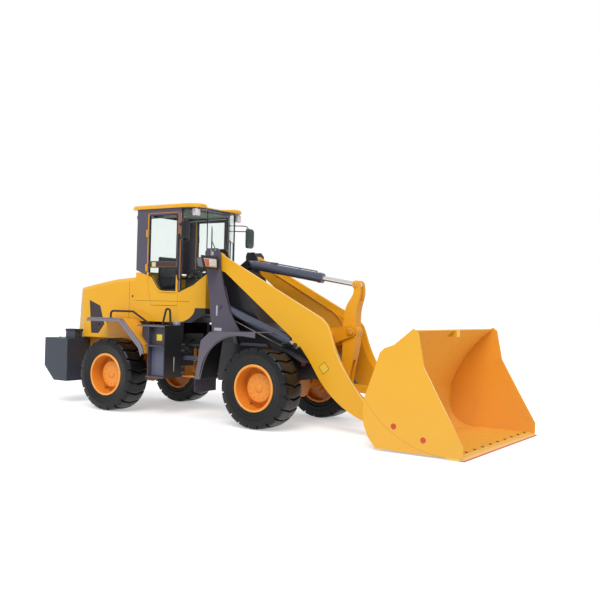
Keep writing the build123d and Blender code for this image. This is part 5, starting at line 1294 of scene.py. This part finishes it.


# ------------------------------------------------------------------ front frame
# The front frame is two pairs of cut mast plates on a box between the front wheels, painted violet
# grey, and near black between the plates as painted shade, with pinned heads, hose pipes and inner gussets.
mast_face, mast_back, box_side = 0.5525, 0.3599, 0.3849    # faces of the plates, from the middle
between = ("|Y|", -1, 0.44)
# Between the plates the violet grey is painted near black: painted shade in the deep gap.
frame_paint = enamel("mast_enamel", "#544E5E", "#48434F", gloss=0.34, dull=0.48, dust=0.4, bands=[
    ([between, ("X", fx - 1.25, far_off), ("Z", 1.12, far_off)], "#1E1D22"),
    ([between, ("Z", 0, 1.12)], "#2B2930"),
])
dress(("front_frame",), frame_paint)
boom_pivot = Vector((fx - 1.12, 0, 2.34))
lift_base = Vector((fx - 0.985, 0, 1.655))
shape = bmesh.new()
for side in sides:
    add_turned(shape, (boom_pivot.x, side * (mast_face - 0.001), boom_pivot.z), (0, side, 0), [
        (0, 0.066), (0.014, 0.066), (0.019, 0.061), (0.019, 0.012), (0.024, 0.008),
    ], 32)
    add_cap(shape, (boom_pivot.x, side * mast_back, boom_pivot.z), (0, -side, 0),
            0.06, 0.012, (0.004, 0.01), 32)
    for near, far, outline in (
        (0.348, mast_back + 0.0002, [(-1.13, 1.36), (-1.09, 1.36), (-0.90, 1.95), (-0.94, 1.97)]),
        (box_side, 0.398, [(-0.83, 1.12), (-0.76, 1.12), (-1.02, 1.96), (-1.07, 1.93)]),
        (box_side, 0.398, [(-0.72, 1.10), (-0.20, 1.10), (-0.24, 1.14), (-0.70, 1.14)]),
    ):
        add_plate(shape, [(fx + dx, z) for dx, z in outline], side * near, side * far)
gusset_grey = enamel("gusset_grey", "#6C6875", "#5E5A68", gloss=0.3, dull=0.4, dust=0.1)
settle("mast_pin_caps", shape, gusset_grey, "front")


def pin_bolts(name, pins, half, ring, radius, body, first=0.6):
    """Three bolts in a ring on the caps of each pin, which end half a length out on both sides."""
    bolts(name, [
        ((pin.x + ring * cos(a), side * half, pin.z + ring * sin(a)), (0, side, 0))
        for side in sides for pin in pins for a in (first, first + 2.1, first + 4.2)
    ], radius, zinc, body)


pin_bolts("mast_pin_bolts", [boom_pivot], mast_face + 0.018, 0.042, 0.008, "front", 0.5)
bolts("mast_head_bolts", [
    ((fx - 1.13 + dx, side * y, z), (0, facing, 0))
    for side in sides for y, facing in ((mast_face, side), (mast_back, -side))
    for dx, z in ((0.03, 2.492), (-0.05, 2.488))
], 0.013, zinc, "front")
shape = bmesh.new()
add_block(shape, (fx - 1.115, 0.356, 2.44), (fx - 1.045, 0.3605, 2.475), 0.0008)
for dx, dx2, z, z2 in ((-1.058, -1.030, 1.523, 1.673), (-1.085, -0.945, 1.300, 1.345),
                       (-1.185, -1.135, 2.415, 2.470)):
    add_block(shape, (fx + dx, -mast_face - 0.002, z), (fx + dx2, -mast_face + 0.0005, z2), 0.0006)
plate_pale = enamel("plate_pale", "#BDB8C0", "#ACA7B0", gloss=0.3, dull=0.4, dust=0.0)
settle("blank_mast_plates", shape, plate_pale, "front")

# Steel pipes and short hose ends feed the boom from the hinge, clamped to the plates all the way.
shape = bmesh.new()
ends = bmesh.new()
for k in range(4):
    y = -0.27 + 0.18 * k
    add_tube(shape, [
        (fx - 1.10, y, 0.70), (fx - 1.085, y, 1.30), (fx - 1.06, y, 1.60),
        (fx - 1.04, y * 0.9, 1.95), (fx - 1.03, y * 0.8, 2.08),
    ], 0.0125, 0.08, 10)
    add_turned(ends, (fx - 1.03, y * 0.8, 2.075), (0, 0, 1), [(0, 0.018), (0.035, 0.018), (0.04, 0.012)], 6)
for z in (0.95, 1.30):
    add_block(shape, (fx - 1.106, -0.30, z), (fx - 1.068, 0.30, z + 0.03), 0.004)
settle("mast_pipes", shape, pipe_steel, "front")
settle("mast_pipe_ends", ends, brass, "front")
shape = bmesh.new()
add_cap(shape, (pivot_x, 0, corners("front_frame")[0].z + 0.02), (0, 0, -1), 0.07, 0.014, (0.006, 0.01))
settle("lower_pin_cap", shape, cast_iron, "front")
reflector_red = lens_material("reflector_red", "#C4607C", "#9A3A55", 0.2, 0.0, 160, (0.4, 0.0008))
shape = bmesh.new()
for side in sides:
    add_cap(shape, (fx + 0.40, side * box_side, 0.895), (0, side, 0), 0.036, 0.008, (0.003, 0.006))
settle("side_reflectors", shape, reflector_red, "front")


# ------------------------------------------------------------------ front fenders, flaps and guards
# The front fenders are bent sheet in violet grey with a rolled edge and a black lining; a rubber
# flap hangs behind each tyre, and folded guards in slate lie over the axle ends.
fender_paint = enamel("front_fender_enamel", "#5F5A69", "#534E5C", gloss=0.3, dull=0.42, dust=0.35,
                      dust_top=1.5)
dress(("front_fenders",), fender_paint)
dress(("front_guards",), enamel("guard_slate", "#33333B", "#2A2A31", gloss=0.3, dull=0.44, dust=0.15))
flap_rubber = enamel("flap_rubber", "#403C48", "#3A3642", gloss=0.55, dull=0.6, coat=0.0, dust=0.15)
dress(("mud_flaps",), flap_rubber)
arch = [(0.018, 1.3115), (-0.764, 1.2865), (-0.918, 1.1615), (-1.0075, 0.622)]
fender_high = corners("front_fenders")[1]
arch_strip = [(fx + dx, z) for dx, z in arch] + [(fx + dx + 0.003, z - 0.004) for dx, z in arch[::-1]]
lining = bmesh.new()
rolled = bmesh.new()
for side in sides:
    add_plate(lining, arch_strip, side * 0.556, side * (fender_high.y - 0.014))
    y = side * (fender_high.y - 0.009)
    add_tube(rolled, [(fx + dx, y, z) for dx, z in (
        (0.016, 1.252), (-0.278, 1.277), (-0.50, 1.235), (-0.745, 1.086), (-0.87, 0.88), (-0.936, 0.628))],
        0.0075, 0.12, 8)
lining_black = enamel("lining_black", "#19181B", "#131215", gloss=0.5, dull=0.6, coat=0.0, dust=0.1)
settle("fender_linings", lining, lining_black, "front")
settle("fender_rolled_edges", rolled, fender_paint, "front")
flap_high = corners("mud_flaps")[1]
bolts("flap_bolts", [
    ((flap_high.x, side * y, flap_high.z - 0.02), (1, 0, 0))
    for side in sides for y in (0.62, 0.74, 0.86, 0.98)
], 0.008, zinc, "front")


# ------------------------------------------------------------------ headlamps
# Each headlamp is a moulded housing beside the mast head. Its front holds a pale surround, a large
# clear lens and an orange indicator on the outer side, each with moulded ribs.
dress(("headlamps",), enamel("headlamp_shell", "#57525F", "#4A4652", gloss=0.24, dull=0.38, dust=0.0))
indicator = lens_material("indicator_orange", "#E8793A", "#C9531F", 0.14, 0.7, 30, (0.5, 0.001), "Z")
surround = enamel("lamp_surround", "#D8CFC8", "#C6BCB6", gloss=0.25, dull=0.35, dust=0.0)
face = corners("headlamps")[1].x
bezel = enamel("lamp_bezel", "#302D35", "#26242A", gloss=0.2, dull=0.32, dust=0.0)
# name, finish, how far the part stands out of the housing, and its outline on one side
for name, finish, depth, outline in (
    ("bezel", bezel, 0.003, [(0.5745, 2.196), (0.590, 2.392), (0.965, 2.392), (0.895, 2.202)]),
    ("surround", surround, 0.006, [(0.602, 2.226), (0.618, 2.352), (0.902, 2.352), (0.85, 2.232)]),
    ("lens", lens, 0.014, [(0.612, 2.238), (0.626, 2.342), (0.775, 2.342), (0.768, 2.240)]),
    ("indicator", indicator, 0.014, [(0.785, 2.241), (0.792, 2.342), (0.888, 2.342), (0.842, 2.243)]),
):
    shape = bmesh.new()
    for side in sides:
        add_plate(shape, [(side * y, z) for y, z in outline], face - 0.001, face + depth, "x")
    bmesh.ops.recalc_face_normals(shape, faces=shape.faces)
    rim = [e for e in shape.edges if all(v.co.x > face + depth - 0.0005 for v in e.verts)]
    bmesh.ops.bevel(shape, geom=rim, offset=min(depth * 0.8, 0.008), segments=3, affect="EDGES", profile=0.6)
    settle(f"headlamp_{name}", shape, finish, "front", 50)


# ------------------------------------------------------------------ boom
# The boom is two deep arms cut from thick plate and stiffened inside, joined by a round cross tube.
# A pale painted highlight runs along its upper edges, the arms' inner faces are painted a deeper
# orange as painted shade, and its pins are held by bolted caps.
# The arms' inner faces, between the arms, get a deeper orange as painted shade.
boom_paint = enamel("boom_enamel", *amber, dust=0.12, bands=[
    ([("|Y|", -1, 0.4595), ("Z", 0, 9)], "#E49C1E"),
])
dress(("boom",), boom_paint)
# A pale painted highlight along the arms' upper outer edges, used again on the bucket's edges.
edge_highlight = enamel("painted_edge_highlight", "#FCDF9E", "#F8D286", gloss=0.25, dull=0.35, dust=0.0)
arm_outer = 0.502
crown = [(fx - 1.07, 2.457), (fx + 0.755, 1.5345), (fx + 0.852, 1.439), (fx + 0.8955, 1.335),
         (fx + 0.985, 1.073), (fx + 1.112, 0.8695), (fx + 1.258, 0.672), (fx + 1.42, 0.4805),
         (fx + 1.70, 0.384)]
shape = bmesh.new()
for side in sides:
    add_tube(shape, [(x, side * (arm_outer - 0.0025), z - 0.002) for x, z in crown], 0.0042, 0.05, 8)
settle("boom_edge_highlights", shape, edge_highlight, "boom")
bucket_pin = Vector((fx + 1.72, 0, 0.27))
rocker_pin = Vector((fx + 0.975, 0, 1.365))
lift_eye = Vector((fx + 0.33, 0, 1.15))
shape = bmesh.new()
for side in sides:
    add_cap(shape, (rocker_pin.x, side * 0.1215, rocker_pin.z), (0, side, 0), 0.052, 0.010)
settle("boom_pin_caps", shape, boom_paint, "boom")
shape = bmesh.new()
for side in sides:
    add_cap(shape, (lift_eye.x, side * (arm_outer - 0.001), lift_eye.z), (0, side, 0), 0.036, 0.012)
settle("lift_eye_caps", shape, cast_iron, "boom")
pin_bolts("boom_pin_bolts", [rocker_pin], 0.1345, 0.028, 0.007, "boom")
down_arm = Vector((0.61, 0, -0.79)).normalized()
over_arm = Vector((0.79, 0, 0.61)).normalized()
plate_spot = Vector((fx + 0.807, 0, 0.865))
shape = bmesh.new()
rims = bmesh.new()
for side in sides:
    for half, proud, target in ((0.062, 0.0008, rims), (0.056, 0.0016, shape)):
        square = [plate_spot + down_arm * a * half + over_arm * b * half
                  for a, b in ((-1, -1), (1, -1), (1, 1), (-1, 1))]
        add_plate(target, [(c.x, c.z) for c in square], side * (arm_outer - 0.0005), side * (arm_outer + proud))
settle("blank_plate_rims", rims, black_paint, "boom")
settle("blank_boom_plates", shape, enamel("plate_straw", "#F0C232", "#E8B82C", dust=0.0), "boom")
# A steel pipe runs down the inner side of each arm in three clamps.
shape = bmesh.new()
for side in sides:
    add_tube(shape, [
        (fx - 0.90, side * 0.392, 2.30), (fx + 0.40, side * 0.392, 1.62), (fx + 0.56, side * 0.36, 1.50),
        (fx + 0.60, side * 0.34, 1.405),
    ], 0.010, 0.08, 8)
    for share in (0.2, 0.55, 0.9):
        x = fx - 0.90 + 1.30 * share
        z = 2.30 - 0.68 * share
        add_block(shape, (x - 0.016, side * 0.379, z - 0.02), (x + 0.016, side * 0.403, z + 0.02), 0.003)
settle("boom_pipes", shape, boom_paint, "boom")


# ------------------------------------------------------------------ rocker and bucket link
# The rocker is a thick cast lever with forked ends and a heavy boss; the link is a forged bar. Both
# are yellow, and their pins carry bolted caps.
lever_paint = enamel("lever_enamel", "#EDAA1E", "#E59E1A", gloss=0.4, dull=0.48, coat=0.05, dust=0.12)
dress(("rocker", "bucket_link"), lever_paint)
rocker_top = Vector((fx + 1.025, 0, 2.01))
rocker_foot = Vector((fx + 0.88, 0, 0.59))
shape = bmesh.new()
for side in sides:
    for pin, reach in ((rocker_top, 0.042), (rocker_foot, 0.044)):
        add_cap(shape, (pin.x, side * 0.0745, pin.z), (0, side, 0), reach, 0.010)
settle("rocker_pin_caps", shape, lever_paint, "rocker")
pin_bolts("rocker_pin_bolts", [rocker_top, rocker_foot], 0.0885, 0.022, 0.006, "rocker")


# ------------------------------------------------------------------ bucket
# The bucket is rolled and welded plate, bright yellow outside; within, the cheeks are painted a deeper
# orange as painted shade and the shell a lighter warm tone as painted light, and its inside is
# scuffed by soil. A bolted cutting edge with a red front line closes the lip; ribs stiffen its back.
bucket_high = corners("bucket")[1]
bucket_paint, tree, shader, place = new_material("bucket_enamel")
shader["Coat Weight"].default_value = 0.25
shader["Coat Roughness"].default_value = 0.15
film = grouped(tree, enamel_film, place, gloss_roughness=0.3, dull_roughness=0.42, dust_amount=0.2,
               dust_top=0.8)
way = tree.nodes.new("ShaderNodeSeparateXYZ")
tree.links.new(tree.nodes.new("ShaderNodeTexCoord").outputs["Normal"], way.inputs["Vector"])
spot = tree.nodes.new("ShaderNodeSeparateXYZ")
tree.links.new(place, spot.inputs["Vector"])
inward = math_node(tree, "MAXIMUM", math_node(tree, "GREATER_THAN", way.outputs["X"], 0.05),
                   math_node(tree, "GREATER_THAN", way.outputs["Z"], 0.8))
within = math_node(tree, "LESS_THAN", math_node(tree, "ABSOLUTE", spot.outputs["Y"], 0.0),
                   bucket_high.y - 0.018)
inner_shell = math_node(tree, "MULTIPLY", inward, within)
cheek_way = math_node(tree, "LESS_THAN",
                      math_node(tree, "MULTIPLY", way.outputs["Y"], spot.outputs["Y"]), -0.6)
ahead_of_shell = math_node(tree, "GREATER_THAN", spot.outputs["X"], fx + 1.9)
inner_cheek = math_node(tree, "MULTIPLY", cheek_way, ahead_of_shell)
inside = math_node(tree, "MAXIMUM", inner_shell, inner_cheek)
outer_tone = blend_colours(tree, film["Tone"], tint("#ECB01E"), tint("#E7A81A"))
# Inside faces take a deeper orange: painted shade.
shaded_inner_tone = blend_colours(tree, film["Tone"], tint("#EBA23A"), tint("#E29730"))
colour = blend_colours(tree, inside, outer_tone, shaded_inner_tone)
# The shell within is then painted a lighter warm tone: painted light.
colour = blend_colours(tree, inner_shell, colour, tint("#F6B94E"))
# Towards the lip the floor fades back to the outer yellow: painted light where the open front is lit.
forward = ramp(tree, spot.outputs["X"], fx + 2.1, fx + 2.9, 0.0, 0.75)
level_floor = math_node(tree, "MULTIPLY", math_node(tree, "GREATER_THAN", way.outputs["Z"], 0.8), within)
colour = blend_colours(tree, math_node(tree, "MULTIPLY", forward, level_floor), colour, outer_tone)
scuffs = ramp(tree, noise(tree, place, 5, 10), 0.60, 0.74, 0.0, 0.22)
colour = blend_colours(tree, math_node(tree, "MULTIPLY", scuffs, inside), colour, tint("#B98A52"))
flat_place = tree.nodes.new("ShaderNodeCombineXYZ")
tree.links.new(spot.outputs["X"], flat_place.inputs["X"])
tree.links.new(spot.outputs["Z"], flat_place.inputs["Z"])
outer_cheek = math_node(tree, "GREATER_THAN", math_node(tree, "ABSOLUTE", spot.outputs["Y"], 0.0),
                        bucket_high.y - 0.003)


def cheek_distance(x, z):
    """How far a point of a cheek is from a centre, in the cheek's own plane."""
    gap = tree.nodes.new("ShaderNodeVectorMath")
    gap.operation = "DISTANCE"
    tree.links.new(flat_place.outputs["Vector"], gap.inputs[0])
    gap.inputs[1].default_value = (x, 0, z)
    return gap.outputs["Value"]


weld = math_node(tree, "ABSOLUTE", math_node(tree, "SUBTRACT", cheek_distance(fx + 2.98, 1.36), 1.335), 0.0)
weld = math_node(tree, "MULTIPLY", math_node(tree, "LESS_THAN", weld, 0.004), outer_cheek)
colour = blend_colours(tree, math_node(tree, "MULTIPLY", weld, 0.45), colour, tint("#A87418"))
for x, z in ((fx + 2.276, 0.311), (fx + 2.658, 0.190)):
    plug = math_node(tree, "MULTIPLY", math_node(tree, "LESS_THAN", cheek_distance(x, z), 0.036), outer_cheek)
    colour = blend_colours(tree, plug, colour, tint("#C62E00"))
colour = blend_colours(tree, film["Dust"], colour, dried_dust)
tree.links.new(colour, shader["Base Color"])
tree.links.new(film["Roughness"], shader["Roughness"])
raise_bump(tree, film["Height"], shader, 0.3, 0.0006)
dress(("bucket",), bucket_paint)
edge_low, edge_high = corners("cutting_edge")
front_line = ([("X", edge_high.x - 0.06, far_off), ("Z", -1, edge_low.z + 0.011)], "#DB5A5C")
edge_steel = enamel("cutting_edge_enamel", "#F5CE70", "#ECC062", gloss=0.35, dull=0.5, dust=0.2,
                    dust_top=0.2, bands=[front_line])
dress(("cutting_edge",), edge_steel)
bolt_steel = enamel("edge_bolt_steel", "#7A6A4A", "#6A5B40", gloss=0.35, dull=0.5, dust=0.1)
bolts("cutting_edge_bolts", [
    ((fx + 3.030, -1.16 + 2.32 * k / 9, 0.0435), (0, 0, 1)) for k in range(10)
], 0.016, bolt_steel, "bucket")
cheek_lip = [(fx + 2.55, 1.41), (fx + 2.575, 1.30), (fx + 2.63, 1.04), (fx + 3.10, 0.21),
             (fx + 2.98, 0.21), (fx + 2.52, 1.02), (fx + 2.47, 1.30)]
shape = bmesh.new()
for side in sides:
    add_plate(shape, cheek_lip, side * (bucket_high.y - 0.0155), side * (bucket_high.y - 0.020))
settle("cheek_lip_plates", shape, bucket_paint, "bucket")
# Pale painted highlights along the cheeks' front edges and along the front of the cutting edge.
shape = bmesh.new()
for side in sides:
    add_tube(shape, [(x, side * (bucket_high.y - 0.0042), z) for x, z in (
        (fx + 2.570, 1.32), (fx + 2.583, 1.26), (fx + 2.637, 1.04), (fx + 3.10, 0.235))], 0.0040, 0.03, 8)
add_tube(shape, [(fx + 3.0785, -1.272, 0.0425), (fx + 3.0785, 1.272, 0.0425)], 0.0032, 0.01, 8)
settle("cheek_edge_highlights", shape, edge_highlight, "bucket")
pin_bolts("bucket_pin_bolts", [bucket_pin], 0.5455, 0.02, 0.006, "bucket")


# ------------------------------------------------------------------ cylinders
# The barrels are honed tube in slate blue enamel with turned glands, clamped pipes and ports; the
# rods are hard chrome.
barrel_paint = enamel("cylinder_enamel", "#4C5265", "#424859", gloss=0.16, dull=0.26, coat=0.5, dust=0.05)
dress(("lift_barrel", "tilt_barrel", "steer_barrel_right", "steer_barrel_left"), barrel_paint)
chrome = polished("rod_chrome", "#EFEDEA", "#DAD8D6", 9, 4, (0.08, 0.2), {"Metallic": 0.75})
dress(("lift_rod", "tilt_rod", "steer_rod_right", "steer_rod_left"), chrome)
tilt_base = Vector((fx - 0.88, 0, 2.31))
# kind, the barrel's pin, the rod's pin, place across, the tube's radius, and its start and end
runs = (("lift", lift_base, lift_eye, 0.452, 0.060, 0.070, 1.290),
        ("lift", lift_base, lift_eye, -0.452, 0.060, 0.070, 1.290),
        ("tilt", tilt_base, rocker_top, 0.0, 0.068, 0.085, 1.340))
# turned profiles: how far along, and how far proud of the tube
gland = [(0, 0), (0.002, 0.007), (0.030, 0.007), (0.034, 0.003), (0.070, 0.003), (0.072, -0.002)]
foot_ring = [(0, 0), (0.004, 0.004), (0.028, 0.004), (0.032, 0)]
clamp_band = [(0, 0), (0.002, 0.003), (0.018, 0.003), (0.020, 0)]
bodies = {"lift": bmesh.new(), "tilt": bmesh.new()}
rings = {"lift": bmesh.new(), "tilt": bmesh.new()}
for kind, base, eye, y, reach, first, last in runs:
    way = (eye - base).normalized()
    above = Vector((-way.z, 0, way.x))
    start = Vector((base.x, y, base.z))
    turned_parts = [(last - 0.075, gland), (first + 0.02, foot_ring)]
    turned_parts += [(first + (last - first) * share, clamp_band) for share in (0.3, 0.65)]
    for at, profile in turned_parts:
        add_turned(rings[kind], start + way * at, way, [(run, reach + proud) for run, proud in profile], 32)
    away, out = (-above, reach + 0.055) if kind == "lift" else (above, reach + 0.014)
    add_tube(bodies[kind], [start + way * at + away * rise for at, rise in (
        (first + 0.10, reach - 0.002), (first + 0.10, out), (last - 0.12, out), (last - 0.12, reach - 0.002))],
        0.009, 0.012, 8)
for kind, body in (("lift", "lift_barrels"), ("tilt", "tilt_barrel")):
    settle(f"{kind}_barrel_pipes", bodies[kind], zinc if kind == "lift" else barrel_paint, body)
    settle(f"{kind}_barrel_bands", rings[kind], barrel_paint, body)


# ------------------------------------------------------------------ stage
# A plain pale floor that fades into a white surround, a large soft key from the operator's right
# front, and a broad sky fill. The floor keeps the machine's soft shadow.
floor_mesh = bpy.data.meshes.new("floor")
floor_reach = 90
floor_glow = 0.42
floor_mesh.from_pydata(
    [(x * floor_reach, y * floor_reach, 0) for x, y in ((-1, -1), (1, -1), (1, 1), (-1, 1))],
    [], [(0, 1, 2, 3)],
)
floor = bpy.data.objects.new("floor", floor_mesh)
bpy.context.scene.collection.objects.link(floor)
floor_paint, tree, floor_shader, place = new_material("studio_floor")
for socket, value in (("Base Color", (0.8, 0.8, 0.8, 1)), ("Roughness", 0.9), ("Specular IOR Level", 0.1),
                      ("Emission Color", (1, 1, 1, 1))):
    floor_shader[socket].default_value = value
rays = tree.nodes.new("ShaderNodeLightPath").outputs
seen = math_node(tree, "MAXIMUM", rays["Is Camera Ray"], rays["Is Glossy Ray"])
tree.links.new(math_node(tree, "MULTIPLY", seen, floor_glow), floor_shader["Emission Strength"])
floor_mesh.materials.append(floor_paint)

world = bpy.data.worlds.new("studio")
bpy.context.scene.world = world
world.use_nodes = True
tree = world.node_tree
fill = tree.nodes["Background"]
fill.inputs["Color"].default_value = (0.96, 0.98, 1, 1)
fill.inputs["Strength"].default_value = 0.68
white = tree.nodes.new("ShaderNodeBackground")
white.inputs["Color"].default_value = (1, 1, 1, 1)
rays = tree.nodes.new("ShaderNodeLightPath").outputs
seen = math_node(tree, "MAXIMUM", rays["Is Camera Ray"], rays["Is Transmission Ray"])
both = tree.nodes.new("ShaderNodeMixShader")
tree.links.new(seen, both.inputs["Fac"])
tree.links.new(fill.outputs["Background"], both.inputs[1])
tree.links.new(white.outputs["Background"], both.inputs[2])
tree.links.new(both.outputs["Shader"], tree.nodes["World Output"].inputs["Surface"])

sun = bpy.data.lights.new("key", "SUN")
sun.energy = 1.85
sun.angle = radians(35)
sun.color = (1, 0.98, 0.96)
key = bpy.data.objects.new("key", sun)
bpy.context.scene.collection.objects.link(key)
key.rotation_euler = Vector((-0.35, 0.75, -0.85)).to_track_quat("-Z", "Y").to_euler()

# The camera stands low and well in front of the machine's right side, with a slight roll.
camera_place = Vector((7.3511, -9.9335, 1.6790))
yaw, pitch, roll = radians(123.637), radians(0.509), radians(1.530)
ahead = Vector((cos(pitch) * cos(yaw), cos(pitch) * sin(yaw), sin(pitch)))
level_right = ahead.cross(Vector((0, 0, 1))).normalized()
level_up = level_right.cross(ahead)
right = level_right * cos(roll) + level_up * sin(roll)
up = level_up * cos(roll) - level_right * sin(roll)
lens = bpy.data.cameras.new("camera")
lens.sensor_width = 36
lens.lens = 49.19
camera = bpy.data.objects.new("camera", lens)
bpy.context.scene.collection.objects.link(camera)
turn = Matrix((right, up, -ahead)).transposed()
camera.matrix_world = Matrix.Translation(camera_place) @ turn.to_4x4()
bpy.context.scene.camera = camera
bpy.context.scene.view_settings.view_transform = "Standard"
